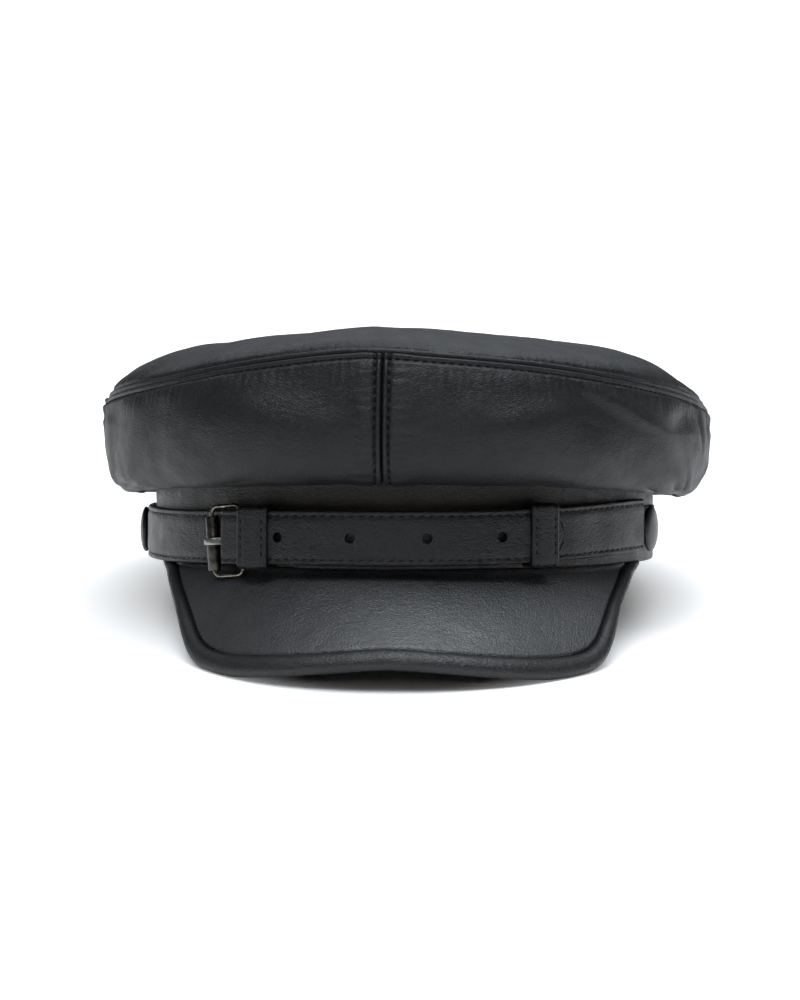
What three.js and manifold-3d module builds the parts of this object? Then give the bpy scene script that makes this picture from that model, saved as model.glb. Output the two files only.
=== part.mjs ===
// A breton fisherman's cap in black leather, lying on a flat surface as it rests by itself.
// Millimetres, +Z up, the peak towards -Y. The origin lies on the surface, under the middle of the cap.
// Each piece is first worked out in the cap's own frame: origin in the middle of the head opening, in
// the plane of the band's bottom edge. The whole cap then tips back on to its band and its peak.
import * as THREE from 'three';
import { mergeVertices } from 'three/addons/utils/BufferGeometryUtils.js';
import Module from 'manifold-3d';

// Head opening and band
const headHalfWidth = 83;
const headHalfLength = 98;
const bandWall = 2.4;
const bandHeight = 32;

// Clearance between neighbouring pieces
const gap = 0.3;

// Crown
const crownWall = 2;
const crownHeight = 37.1; // front rim seam above the band's top edge
const crownOverhang = 20; // widest part of the crown outside the band
const foldDroop = 12; // lowest fold of the crown below the band's top edge
const topPuff = 14; // top panel above its rim seam
const topShoulder = 9; // how squarely the top panel rounds over into its rim seam
const frontSeamTurn = -1.9; // the seams' places, in degrees round from the front centre
const sideSeamTurn = 97;
const dentDepth = 1.6;
const dentsFadeIn = [0.1, 0.4]; // shares of the way from the band to the rim seam
const dentsFadeOut = [0.9, 1];

// Peak
const peakSpread = 68; // degrees from the peak's middle to its ends
const peakReach = 37;
const peakDrop = 31.6;
const peakThickness = 3;
const peakBulge = 1;
const rimWidth = 7;
const rimThickness = 5.4;

// Straps, holes and keepers
const strapWidth = 17.4;
const strapThickness = 2.2;
const strapMiddle = 9.9; // middle of the strap above the band's bottom edge, at the front
const strapRise = 2.8; // how much higher it lies at the right end
const tongueStart = -94;
const tongueTip = 35.8;
const tipTaper = 3.2; // degrees of the tongue that narrow to its tip
const tipWidth = 3;
const settleTurn = 12; // degrees over which the buckle side comes down on to the band
const tongueSettleTurn = 4; // and the tongue on to the strap under it, past the keeper's middle
const holeDiameter = 3;
const firstHoleTurn = -23.8;
const holePitch = 15.2; // degrees from one hole to the next
const holeCount = 4;
const buckleSideEnd = 67;
const tabEnd = 80;
const tabWidth = 12;
const tabThickness = 1;
const keeperWidth = 9.6;
const keeperWall = 1;
const keeperCorner = 0.6; // how its inner corners round
const keeperFixedTurn = -29.1;
const keeperSlidingTurn = 31.1;
const keeperBow = 0.8; // how far a front face swells over to the left

// Buckle
const rollerTurn = -41.6;
const barTurn = -34.3;
const wireRadius = 0.7;
const frameHeight = 22.6;
const frameCornerRadius = 1.8;
const buckleMiddle = 8; // middle of the buckle above the band's bottom edge
const buckleLean = 5; // degrees that the buckle leans towards the left
const rollerRadius = 2.1;
const rollerLength = 17.8;
const foldWall = 1; // leather folded round the buckle's bar
const prongWidth = 2.6;
const prongThickness = 1;
const prongOverhang = 2.2; // prong past the middle of the roller
const prongLift = 2.6; // where the prong leaves the strap and where it meets the roller, in roller radii
const prongMeet = 0.9;
const runningClearance = 0.2; // between the wire and what turns on it

// Buttons
const buttonLeftTurn = -88;
const buttonRightTurn = 72.2;
const buttonRadius = 7.7;
const buttonDome = 2.8;
const buttonEdge = 0.3; // share of the dome that is its upright edge
const buttonRightDrop = 1.6; // right button below the middle of its strap

// How far the leather flattens where the cap rests
const restFlat = 0.6;

// Meshing
const crownColumns = 60;
const foldRows = 3;
const bellyRows = 4;
const wallRows = 4;
const topRings = 7;
const ringSpread = 1.7;
const peakColumns = 44;
const peakRows = 5;
const rimSides = 10;
const strapStep = 2.6;
const wireSides = 8;

const bandHalfWidth = headHalfWidth + bandWall;
const bandHalfLength = headHalfLength + bandWall;
const radians = THREE.MathUtils.degToRad;

// The crown's sections, a row for each turn in degrees from the front centre towards +X. rimOut and
// bellyOut are shares of crownOverhang, rimRise and bellyRise of crownHeight above the band's top edge,
// foldDrop of foldDroop below it, shoulder of topShoulder.
const crownSections = [
  { turn: -180, rimOut: 0.7, rimRise: 0.33, bellyOut: 1, bellyRise: 0.06, foldDrop: 1, shoulder: 0.6 },
  { turn: -135, rimOut: 0.76, rimRise: 0.42, bellyOut: 0.97, bellyRise: 0.16, foldDrop: 1, shoulder: 0.8 },
  { turn: -90, rimOut: 0.82, rimRise: 0.56, bellyOut: 0.9, bellyRise: 0.36, foldDrop: 0.85, shoulder: 1 },
  { turn: -60, rimOut: 0.82, rimRise: 0.68, bellyOut: 0.96, bellyRise: 0.34, foldDrop: 0.72, shoulder: 1 },
  { turn: -44, rimOut: 0.8, rimRise: 0.77, bellyOut: 1.02, bellyRise: 0.33, foldDrop: 0.6, shoulder: 0.85 },
  { turn: -23, rimOut: 0.76, rimRise: 0.915, bellyOut: 1.07, bellyRise: 0.34, foldDrop: 0.49, shoulder: 0.68 },
  { turn: -7, rimOut: 0.7, rimRise: 0.995, bellyOut: 1, bellyRise: 0.35, foldDrop: 0.44, shoulder: 0.64 },
  { turn: 8, rimOut: 0.7, rimRise: 0.965, bellyOut: 1, bellyRise: 0.35, foldDrop: 0.43, shoulder: 0.64 },
  { turn: 25, rimOut: 0.76, rimRise: 0.895, bellyOut: 1.06, bellyRise: 0.34, foldDrop: 0.47, shoulder: 0.62 },
  { turn: 46, rimOut: 0.82, rimRise: 0.77, bellyOut: 1.04, bellyRise: 0.32, foldDrop: 0.6, shoulder: 0.85 },
  { turn: 62, rimOut: 0.84, rimRise: 0.675, bellyOut: 1, bellyRise: 0.3, foldDrop: 0.74, shoulder: 1 },
  { turn: 90, rimOut: 0.87, rimRise: 0.51, bellyOut: 1, bellyRise: 0.26, foldDrop: 0.87, shoulder: 1 },
  { turn: 135, rimOut: 0.78, rimRise: 0.4, bellyOut: 1, bellyRise: 0.13, foldDrop: 1, shoulder: 0.8 },
];

// Soft dents and swells of the crown's side. turn and wide are in degrees, up and tall are shares of the
// way from the band to the rim seam, lean is degrees of turn for that whole way, depth is a share of
// dentDepth, inwards where it is negative.
const crownDents = [
  { turn: -14, up: 0.8, wide: 9, tall: 0.22, lean: -20, depth: -1 },
  { turn: -34, up: 0.72, wide: 9, tall: 0.3, lean: 0, depth: 0.5 },
  { turn: 9, up: 0.68, wide: 8, tall: 0.25, lean: 10, depth: -0.6 },
  { turn: 24, up: 0.6, wide: 10, tall: 0.16, lean: 30, depth: 0.7 },
  { turn: 36, up: 0.75, wide: 5, tall: 0.22, lean: -40, depth: -0.8 },
  { turn: 66, up: 0.7, wide: 6, tall: 0.2, lean: 20, depth: -0.5 },
  { turn: -68, up: 0.68, wide: 6, tall: 0.2, lean: -20, depth: -0.5 },
  { turn: 140, up: 0.7, wide: 14, tall: 0.25, lean: 20, depth: -0.8 },
  { turn: -150, up: 0.66, wide: 12, tall: 0.25, lean: -25, depth: -0.7 },
];

// Half the outline of the peak. turn is a share of peakSpread, reach of peakReach out from the band,
// drop of peakDrop below its bottom edge and rim of rimWidth.
const peakHalf = [
  { turn: 0, reach: 1, drop: 0.86, rim: 1 },
  { turn: 0.107, reach: 1, drop: 0.9, rim: 1 },
  { turn: 0.18, reach: 0.975, drop: 0.934, rim: 1 },
  { turn: 0.27, reach: 0.94, drop: 0.973, rim: 1 },
  { turn: 0.36, reach: 0.87, drop: 1, rim: 1 },
  { turn: 0.434, reach: 0.8, drop: 0.99, rim: 0.95 },
  { turn: 0.5, reach: 0.73, drop: 0.935, rim: 0.85 },
  { turn: 0.55, reach: 0.65, drop: 0.83, rim: 0.75 },
  { turn: 0.61, reach: 0.515, drop: 0.62, rim: 0.65 },
  { turn: 0.706, reach: 0.33, drop: 0.37, rim: 0.6 },
  { turn: 0.88, reach: 0.1, drop: 0.11, rim: 0.6 },
  { turn: 1, reach: 0, drop: 0.03, rim: 0.6 },
];

// Height of the strap's middle. turn is in degrees, lift is a share of strapRise.
const strapCourse = [
  { turn: -100, lift: -0.25 },
  { turn: -60, lift: -0.5 },
  { turn: -20, lift: -0.03 },
  { turn: 0, lift: 0 },
  { turn: 22, lift: 0.17 },
  { turn: 36, lift: 0.4 },
  { turn: 64, lift: 0.95 },
  { turn: 90, lift: 1.1 },
];

// The value of a table's column on a smooth curve through its rows. A table that goes all the way
// round has a period.
function along(rows, column, turn, period = 0) {
  const row = (i) => {
    const count = rows.length;
    if (!period) return rows[Math.min(Math.max(i, 0), count - 1)];
    const lap = Math.floor(i / count);
    return { ...rows[i - lap * count], turn: rows[i - lap * count].turn + lap * period };
  };
  const at = period ? turn - Math.floor((turn - rows[0].turn) / period) * period : turn;
  let i = rows.length - (period ? 1 : 2);
  while (i > 0 && rows[i].turn > at) i -= 1;
  const [before, start, end, after] = [row(i - 1), row(i), row(i + 1), row(i + 2)];
  const span = end.turn - start.turn;
  const startSlope = (end[column] - before[column]) / (end.turn - before.turn);
  const endSlope = (after[column] - start[column]) / (after.turn - start.turn);
  const u = (at - start.turn) / span;
  return (
    start[column] * (2 * u ** 3 - 3 * u ** 2 + 1) +
    end[column] * (3 * u ** 2 - 2 * u ** 3) +
    span * startSlope * (u ** 3 - 2 * u ** 2 + u) +
    span * endSlope * (u ** 3 - u ** 2)
  );
}

// From 0 to 1, smoothly, between two values
function ease(value, from, to) {
  return THREE.MathUtils.smoothstep(value, from, to);
}

// A point at a turn in degrees, some way out from the band's outer face
function place(turn, out, z) {
  const sin = Math.sin(radians(turn));
  const cos = Math.cos(radians(turn));
  const length = Math.hypot(bandHalfLength * sin, bandHalfWidth * cos);
  return new THREE.Vector3(
    bandHalfWidth * sin + (out * bandHalfLength * sin) / length,
    -bandHalfLength * cos - (out * bandHalfWidth * cos) / length,
    z,
  );
}

// How many degrees of turn a length along the band takes
function turnFor(turn, length) {
  const sin = Math.sin(radians(turn));
  const cos = Math.cos(radians(turn));
  return THREE.MathUtils.radToDeg(length / Math.hypot(bandHalfWidth * cos, bandHalfLength * sin));
}

// Closed body through sections that all have the same number of corners. The sections close into a
// loop, or are capped at both ends.
function body(sections, loop = false) {
  const count = sections[0].length;
  const points = sections.flat();
  const positions = points.flatMap((point) => [point.x, point.y, point.z]);
  const indices = [];
  const triangle = (a, b, c) => {
    const flat = [[a, b], [b, c], [c, a]].some(([p, q]) => points[p].distanceTo(points[q]) < 1e-4);
    if (!flat) indices.push(a, b, c);
  };
  const quad = (a, b, c, d) => {
    triangle(a, b, c);
    triangle(a, c, d);
  };
  const lastSection = sections.length - 1;
  for (let i = 0; i < (loop ? sections.length : lastSection); i += 1) {
    const here = i * count;
    const next = ((i + 1) % sections.length) * count;
    for (let j = 0; j < count; j += 1) {
      const k = (j + 1) % count;
      quad(here + j, next + j, next + k, here + k);
    }
  }
  for (let j = 0; !loop && j < count / 2 - 1; j += 1) {
    const k = count - 1 - j;
    quad(j, j + 1, k - 1, k);
    const end = lastSection * count;
    quad(end + k, end + k - 1, end + j + 1, end + j);
  }
  return outward(positions, indices);
}

// Geometry whose faces point out, whichever way its sections ran
function outward(positions, indices) {
  const corner = (i) => new THREE.Vector3().fromArray(positions, 3 * indices[i]);
  let volume = 0;
  for (let i = 0; i < indices.length; i += 3) {
    volume += corner(i).dot(corner(i + 1).cross(corner(i + 2)));
  }
  if (volume < 0) indices.reverse();
  const geometry = new THREE.BufferGeometry();
  geometry.setAttribute('position', new THREE.Float32BufferAttribute(positions, 3));
  geometry.setIndex(indices);
  return geometry;
}

// Outer face of the crown's side. up runs from 0 on the band's top edge through the low fold and the
// belly to 1 at the rim seam.
const seatUp = 0.05;
const foldUp = 0.25;
const bellyUp = 0.55;

function crownSide(turn, up) {
  const row = (column) => along(crownSections, column, turn, 360);
  const seamHeight = bandHeight + gap;
  const belly = { out: crownOverhang * row('bellyOut'), z: bandHeight + crownHeight * row('bellyRise') };
  const fold = { out: belly.out / 2, z: bandHeight - foldDroop * row('foldDrop') };
  const rim = { out: crownOverhang * row('rimOut'), z: bandHeight + crownHeight * row('rimRise') };
  let out;
  let z;
  if (up < seatUp) {
    out = THREE.MathUtils.lerp(-bandWall, gap, up / seatUp);
    z = seamHeight;
  } else if (up < foldUp) {
    const u = (up - seatUp) / (foldUp - seatUp);
    out = THREE.MathUtils.lerp(gap, fold.out, u);
    z = THREE.MathUtils.lerp(seamHeight, fold.z, u * u * (3 - 2 * u));
  } else if (up < bellyUp) {
    const quarter = ((up - foldUp) / (bellyUp - foldUp)) * (Math.PI / 2);
    out = fold.out + (belly.out - fold.out) * Math.sin(quarter);
    z = belly.z - (belly.z - fold.z) * Math.cos(quarter);
  } else {
    const u = (up - bellyUp) / (1 - bellyUp);
    out = THREE.MathUtils.lerp(belly.out, rim.out, u * u);
    z = THREE.MathUtils.lerp(belly.z, rim.z, u);
  }
  let dent = 0;
  for (const { turn: middle, up: height, wide, tall, lean, depth } of crownDents) {
    const aside = THREE.MathUtils.euclideanModulo(turn - middle - lean * (up - height) + 180, 360) - 180;
    dent += depth * Math.exp(-((aside / wide) ** 2) - ((up - height) / tall) ** 2);
  }
  const strength = dentDepth * ease(up, ...dentsFadeIn) * (1 - ease(up, ...dentsFadeOut));
  return place(turn, out + dent * strength, z);
}

// Outer face of the crown's top. inward runs from 0 at the rim seam to 1 in the middle. It follows the
// rim's own slope from front to back, and puffs up inside it.
const rimFront = crownSide(0, 1);
const rimBack = crownSide(180, 1);
const rimMean = (rimFront.z + rimBack.z) / 2;
const rimSlope = (rimFront.z - rimBack.z) / (rimFront.y - rimBack.y);

function crownTop(turn, inward) {
  const rim = crownSide(turn, 1);
  const share = 1 - inward;
  const x = rim.x * share;
  const y = rim.y * share;
  const waver = rim.z - rimMean - rimSlope * (rim.y - (rimFront.y + rimBack.y) / 2);
  const plane = rimMean + rimSlope * (y - (rimFront.y + rimBack.y) / 2);
  const shoulder = topShoulder * along(crownSections, 'shoulder', turn, 360);
  return new THREE.Vector3(x, y, plane + waver * share ** 2 + topPuff * (1 - share ** shoulder));
}

// The whole outer face as one run: 0 at the band, 1 at the rim seam, 2 in the middle of the top
function crownFace(turn, run) {
  return run <= 1 ? crownSide(turn, run) : crownTop(turn, run - 1);
}

// The inner face lies one wall inside the outer one. Across the rim seam the two faces share their
// mitre, so that neighbouring panels keep their gap.
function crownInner(turn, run, at = run) {
  const step = 0.01;
  const before = crownFace(turn, Math.max(run - step, 0));
  const after = crownFace(turn, Math.min(run + step, 2));
  const here = crownFace(turn, run);
  const below = here.clone().sub(before).normalize();
  const above = after.clone().sub(here).normalize();
  const tangent = run < step ? above : below.clone().add(above).normalize();
  const halfBend = run < step ? 1 : Math.max(tangent.dot(above), 0.5);
  const round = crownFace(turn + 1, run).sub(crownFace(turn - 1, run)).normalize();
  const normal = round.cross(tangent).normalize();
  return crownFace(turn, at).addScaledVector(normal, -crownWall / halfBend);
}

// Runs of rows for a side panel, closer together in the fold than in the wall
function sideRuns() {
  const stretch = (from, to, rows) => Array.from({ length: rows }, (_, i) => from + ((to - from) * i) / rows);
  return [
    0,
    ...stretch(seatUp, foldUp, foldRows),
    ...stretch(foldUp, bellyUp, bellyRows),
    ...stretch(bellyUp, 1, wallRows),
    1,
  ];
}

// The run beside the rim seam, on the side panels' side or the top's, that leaves half a gap
function besideRim(turn, side) {
  const step = 0.01;
  return 1 + (side * step * gap) / 2 / crownFace(turn, 1).distanceTo(crownFace(turn, 1 + side * step));
}

function sidePanel(from, to) {
  const columns = Math.round((crownColumns * (to - from)) / 360);
  const trim = (turn) => turnFor(turn, gap / 2);
  const sections = [];
  for (let i = 0; i <= columns; i += 1) {
    const turn = THREE.MathUtils.lerp(from + trim(from), to - trim(to), i / columns);
    const runs = sideRuns();
    const end = besideRim(turn, -1);
    const outer = runs.map((run) => crownFace(turn, Math.min(run, end)));
    const inner = runs.map((run) => crownInner(turn, run, Math.min(run, end)));
    sections.push([...outer, ...inner.reverse()]);
  }
  return body(sections);
}

function topPanel() {
  const sections = [];
  // Rings lie closer together where the top rounds over
  const runs = Array.from({ length: topRings + 1 }, (_, i) => 1 + (i / topRings) ** ringSpread);
  const middle = crownFace(0, 2);
  for (let i = 0; i < crownColumns; i += 1) {
    const turn = (360 * i) / crownColumns;
    const start = besideRim(turn, 1);
    const outer = runs.map((run) => crownFace(turn, Math.max(run, start)));
    const inner = runs.map((run) => {
      if (run === 2) return new THREE.Vector3(middle.x, middle.y, middle.z - crownWall);
      return crownInner(turn, run, Math.max(run, start));
    });
    sections.push([...outer, ...inner.reverse()]);
  }
  return body(sections, true);
}

function band() {
  const sections = [];
  for (let i = 0; i < crownColumns; i += 1) {
    const turn = (360 * i) / crownColumns;
    sections.push([
      rest(place(turn, 0, 0)),
      place(turn, 0, bandHeight),
      place(turn, -bandWall, bandHeight),
      rest(place(turn, -bandWall, 0)),
    ]);
  }
  return body(sections, true);
}

const peakMirrored = peakHalf.slice(1).reverse().map((row) => ({ ...row, turn: -row.turn }));
const peakOutline = [...peakMirrored, ...peakHalf];

// A section of the peak at one turn: from its root under the band to its tip, as a length and a way to
// turn a distance from the root and a height above the straight line into a point
function peakSection(turn) {
  const root = { out: -bandWall / 2, z: -gap };
  const tip = {
    out: peakReach * along(peakOutline, 'reach', turn / peakSpread),
    z: -gap - peakDrop * along(peakOutline, 'drop', turn / peakSpread),
  };
  const length = Math.hypot(tip.out - root.out, tip.z - root.z);
  const forward = (tip.out - root.out) / length;
  const down = (tip.z - root.z) / length;
  const point = (distance, height) => {
    const share = distance / length;
    const lift = height + 4 * peakBulge * share * (1 - share) * (length / Math.hypot(peakReach, peakDrop));
    const out = root.out + forward * distance - down * lift;
    const z = root.z + down * distance + forward * lift;
    return place(turn, out, z);
  };
  return { length, point };
}

// Where the rim begins, measured from the root. The rim keeps its width square to its own run.
function rimStart(turn) {
  const step = 0.5;
  const growth = peakSection(turn + step).length - peakSection(turn - step).length;
  const slant = growth / (2 * step) * turnFor(turn, 1);
  const width = rimWidth * along(peakOutline, 'rim', turn / peakSpread);
  return peakSection(turn).length - width * Math.hypot(1, slant);
}

function peak() {
  let end = peakSpread;
  while (rimStart(end) < peakThickness) end -= 0.25;
  const sections = [];
  for (let i = 0; i <= peakColumns; i += 1) {
    const turn = THREE.MathUtils.lerp(-end, end, i / peakColumns);
    const { point } = peakSection(turn);
    const reach = rimStart(turn) - gap;
    const rows = Array.from({ length: peakRows + 1 }, (_, j) => (reach * j) / peakRows);
    const top = rows.map((distance) => point(distance, 0));
    const under = rows.map((distance) => point(distance, -peakThickness));
    sections.push([...top, ...under.reverse()]);
  }
  return body(sections);
}

function rimSections() {
  const sections = [];
  for (let i = 0; i <= peakColumns; i += 1) {
    const turn = THREE.MathUtils.lerp(-peakSpread, peakSpread, i / peakColumns);
    const { length, point } = peakSection(turn);
    const start = Math.max(rimStart(turn), 0);
    // The rim thins out where it tucks under the band
    const full = Math.min(1, (length - start) / rimWidth);
    const section = [];
    for (let j = 0; j < rimSides; j += 1) {
      const around = (2 * Math.PI * (j + 0.5)) / rimSides;
      const distance = start + ((length - start) * (1 - Math.cos(around))) / 2;
      const height = full * ((rimThickness / 2) * Math.sin(around) - peakThickness / 2);
      section.push(point(distance, height));
    }
    sections.push(section);
  }
  return sections;
}

// The cap tips until it rests on the back of its band and the two front corners of its peak
const restTilt = Math.max(
  ...rimSections()
    .flat()
    .map((point) => Math.atan2(-point.z, bandHalfLength - point.y)),
);
const restLift = bandHalfLength * Math.sin(restTilt) - restFlat;
const surfaceUp = new THREE.Vector3(0, -Math.sin(restTilt), Math.cos(restTilt));

// Leather that would reach below the surface is pressed flat on to it
function rest(point) {
  const height = point.dot(surfaceUp) + restLift;
  return height < 0 ? point.addScaledVector(surfaceUp, -height) : point;
}

function peakRim() {
  return body(rimSections().map((section) => section.map(rest)));
}

// How far out from the band the two straps lie
const besideKeeper = gap + keeperWall + gap;
const foldRadius = wireRadius + runningClearance + foldWall;
const barOut = besideKeeper + strapThickness / 2;

function buckleSideOut(turn) {
  const settle = keeperSlidingTurn + turnFor(keeperSlidingTurn, keeperWidth);
  return besideKeeper - (besideKeeper - gap) * ease(turn, settle, settle + settleTurn);
}

function tongueOut(turn) {
  const start = rollerTurn + turnFor(rollerTurn, rollerRadius / 3);
  const overFold = barOut + foldRadius + gap;
  const overStrap = besideKeeper + strapThickness + gap;
  const top = barTurn - turnFor(barTurn, 2 * foldRadius);
  const past = barTurn + turnFor(barTurn, foldRadius);
  const rise = (overFold - gap) * ease(turn, start, top);
  const settle = (overFold - overStrap) * ease(turn, past, keeperFixedTurn + tongueSettleTurn);
  return gap + rise - settle;
}

function strapHeight(turn) {
  return strapMiddle + strapRise * along(strapCourse, 'lift', turn);
}

// The turns of a strap's sections, closer together where it bends over the buckle
function strapTurns(from, to) {
  const turns = [from];
  while (to - turns.at(-1) > strapStep) {
    const last = turns.at(-1);
    const bends = last > rollerTurn - strapStep && last < keeperFixedTurn + strapStep;
    turns.push(last + (bends ? strapStep / 4 : strapStep));
  }
  return [...turns, to];
}

// A strap bent round the band, as a rectangle of leather at each turn
function strap(turns, size) {
  return body(
    turns.map((turn) => {
      const { inner, thickness, width } = size(turn);
      const low = strapHeight(turn) - width / 2;
      const high = strapHeight(turn) + width / 2;
      return [
        place(turn, inner, low),
        place(turn, inner + thickness, low),
        place(turn, inner + thickness, high),
        place(turn, inner, high),
      ];
    }),
  );
}

// Joining and cutting of closed bodies
const wasm = await Module();
wasm.setup();

function solid(geometry) {
  const plain = geometry.clone();
  plain.deleteAttribute('normal');
  plain.deleteAttribute('uv');
  const merged = mergeVertices(plain, 1e-4);
  return new wasm.Manifold(
    new wasm.Mesh({
      numProp: 3,
      vertProperties: new Float32Array(merged.attributes.position.array),
      triVerts: new Uint32Array(merged.index.array),
    }),
  );
}

function geometryOf(manifold) {
  const mesh = manifold.getMesh();
  const geometry = new THREE.BufferGeometry();
  geometry.setAttribute('position', new THREE.Float32BufferAttribute(mesh.vertProperties, 3));
  geometry.setIndex(Array.from(mesh.triVerts));
  return geometry;
}

// A frame at a turn on the band: local x runs along the band, local -y points out, z up
function seat(turn, out, z) {
  const group = new THREE.Group();
  group.position.copy(place(turn, out, z));
  const outwards = place(turn, 1, 0).sub(place(turn, 0, 0));
  group.rotation.set(0, 0, Math.atan2(outwards.x, -outwards.y));
  group.updateMatrixWorld();
  return group;
}

// The buckle's own frame, in the middle between its roller and its bar
const buckle = seat((rollerTurn + barTurn) / 2, 0, buckleMiddle);
buckle.rotation.order = 'ZYX';
buckle.rotation.y = -radians(buckleLean);
buckle.updateMatrixWorld();

function inBuckle(turn, out) {
  const { x, y } = buckle.worldToLocal(place(turn, out, buckleMiddle));
  return new THREE.Vector2(x, y);
}

const rollerOut = gap + strapThickness + gap + rollerRadius;
const rollerAxis = inBuckle(rollerTurn, rollerOut);
const barAxis = inBuckle(barTurn, barOut);

// A round bar along z, for cutting and joining
function upright(radius, length, sides) {
  return new THREE.CylinderGeometry(radius, radius, length, sides).rotateX(Math.PI / 2);
}

function tongueStrap() {
  const turns = [...strapTurns(tongueStart, tongueTip - tipTaper), tongueTip];
  const whole = strap(turns, (turn) => {
    const width = turn === tongueTip ? tipWidth : strapWidth;
    return { inner: tongueOut(turn), thickness: strapThickness, width };
  });
  let cut = solid(whole);
  for (let i = 0; i < holeCount; i += 1) {
    const turn = firstHoleTurn + i * holePitch;
    const hole = new THREE.CylinderGeometry(holeDiameter / 2, holeDiameter / 2, 4 * strapThickness, 12);
    hole.applyMatrix4(seat(turn, tongueOut(turn), strapHeight(turn)).matrixWorld);
    cut = cut.subtract(solid(hole));
  }
  // The hole that the prong comes through, from the bar to the roller
  const from = rollerAxis.x + rollerRadius / 2;
  const to = barAxis.x - foldRadius / 2;
  const slot = new THREE.BoxGeometry(to - from, 8 * strapThickness, prongWidth + 2 * gap);
  slot.translate((from + to) / 2, -rollerOut, 0);
  slot.applyMatrix4(buckle.matrixWorld);
  return geometryOf(cut.subtract(solid(slot)));
}

function buckleSideStrap() {
  // The full strap ends in a step, and a thin tab goes on under the button
  const step = 0.1;
  const turns = [...strapTurns(barTurn, buckleSideEnd), ...strapTurns(buckleSideEnd + step, tabEnd)];
  const flat = strap(turns, (turn) => {
    const full = turn <= buckleSideEnd;
    const thickness = full ? strapThickness : tabThickness;
    return { inner: buckleSideOut(turn), thickness, width: full ? strapWidth : tabWidth };
  });
  // The fold is level with the strap, not with the middle of the buckle
  const middle = strapHeight(barTurn) - buckleMiddle;
  const fold = upright(foldRadius, strapWidth, 16).translate(barAxis.x, barAxis.y, middle);
  const bore = upright(wireRadius + runningClearance, 2 * strapWidth, 12).translate(barAxis.x, barAxis.y, 0);
  const slot = new THREE.BoxGeometry(4 * foldRadius, 4 * foldRadius, prongWidth + 2 * gap);
  slot.translate(barAxis.x, barAxis.y, 0);
  const [foldSolid, boreSolid, slotSolid] = [fold, bore, slot].map((geometry) =>
    solid(geometry.applyMatrix4(buckle.matrixWorld)),
  );
  return geometryOf(solid(flat).add(foldSolid).subtract(boreSolid).subtract(slotSolid));
}

// A leather loop round both straps. Its front face bows over towards the buckle.
function keeper(middle, bow) {
  const half = turnFor(middle, keeperWidth / 2);
  const corners = 4;
  const round = keeperCorner + keeperWall / 2;
  const sections = [];
  for (let side = 0; side < 4; side += 1) {
    for (let step = 0; step <= corners; step += 1) {
      const around = ((side + step / corners) * Math.PI) / 2;
      const front = Math.max(0, Math.cos(around));
      const left = middle - half - turnFor(middle, bow * front);
      const right = middle + half;
      const ring = (wall) =>
        [left, middle, right].map((turn) => {
          const back = gap + keeperWall / 2;
          const face = tongueOut(turn) + strapThickness + gap + keeperWall / 2;
          const low = strapHeight(turn) - strapWidth / 2 - gap - keeperWall / 2;
          const high = strapHeight(turn) + strapWidth / 2 + gap + keeperWall / 2;
          const ahead = side === 0 || side === 3;
          const above = side < 2;
          const out = (ahead ? face - round : back + round) + (round + wall) * Math.cos(around);
          const z = (above ? high - round : low + round) + (round + wall) * Math.sin(around);
          return place(turn, out, z);
        });
      sections.push([...ring(keeperWall / 2), ...ring(-keeperWall / 2).reverse()]);
    }
  }
  return body(sections, true);
}

// A closed wire: the roller's side, the bar and the two runs between them
function buckleFrame() {
  const corner = frameCornerRadius / (frameHeight / 2);
  const half = frameHeight / 2;
  const path = new THREE.CurvePath();
  const at = (share, z) => {
    const { x, y } = rollerAxis.clone().lerp(barAxis, share);
    return new THREE.Vector3(x, y, z);
  };
  const inset = frameCornerRadius / rollerAxis.distanceTo(barAxis);
  const knee = half * (1 - corner);
  const run = (a, b) => path.add(new THREE.LineCurve3(a, b));
  const bend = (a, b, c) => path.add(new THREE.QuadraticBezierCurve3(a, b, c));
  run(at(0, -knee), at(0, knee));
  bend(at(0, knee), at(0, half), at(inset, half));
  run(at(inset, half), at(1 - inset, half));
  bend(at(1 - inset, half), at(1, half), at(1, knee));
  run(at(1, knee), at(1, -knee));
  bend(at(1, -knee), at(1, -half), at(1 - inset, -half));
  run(at(1 - inset, -half), at(inset, -half));
  bend(at(inset, -half), at(0, -half), at(0, -knee));
  const across = barAxis.clone().sub(rollerAxis).normalize();
  const face = new THREE.Vector3(across.y, -across.x, 0);
  const sections = [];
  const bendSteps = 4;
  path.curves.forEach((curve, i) => {
    const steps = i % 2 ? bendSteps : 1;
    for (let step = 0; step < steps; step += 1) {
      const centre = curve.getPoint(step / steps);
      const tangent = curve.getTangent(step / steps).normalize();
      const side = face.clone().cross(tangent);
      const section = [];
      for (let k = 0; k < wireSides; k += 1) {
        const around = (2 * Math.PI * k) / wireSides;
        section.push(
          centre
            .clone()
            .addScaledVector(face, wireRadius * Math.cos(around))
            .addScaledVector(side, wireRadius * Math.sin(around)),
        );
      }
      sections.push(section);
    }
  });
  return body(sections, true);
}

function buckleRoller() {
  const bore = wireRadius + runningClearance;
  const half = rollerLength / 2;
  const profile = [
    [bore, -half],
    [rollerRadius, -half],
    [rollerRadius, half],
    [bore, half],
    [bore, -half],
  ].map(([radius, height]) => new THREE.Vector2(radius, height));
  const geometry = new THREE.LatheGeometry(profile, 14).rotateX(Math.PI / 2);
  // It hangs at the lower end of the wire's straight run
  const slide = frameHeight / 2 - frameCornerRadius - half;
  return geometry.translate(rollerAxis.x, rollerAxis.y, -slide);
}

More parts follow.
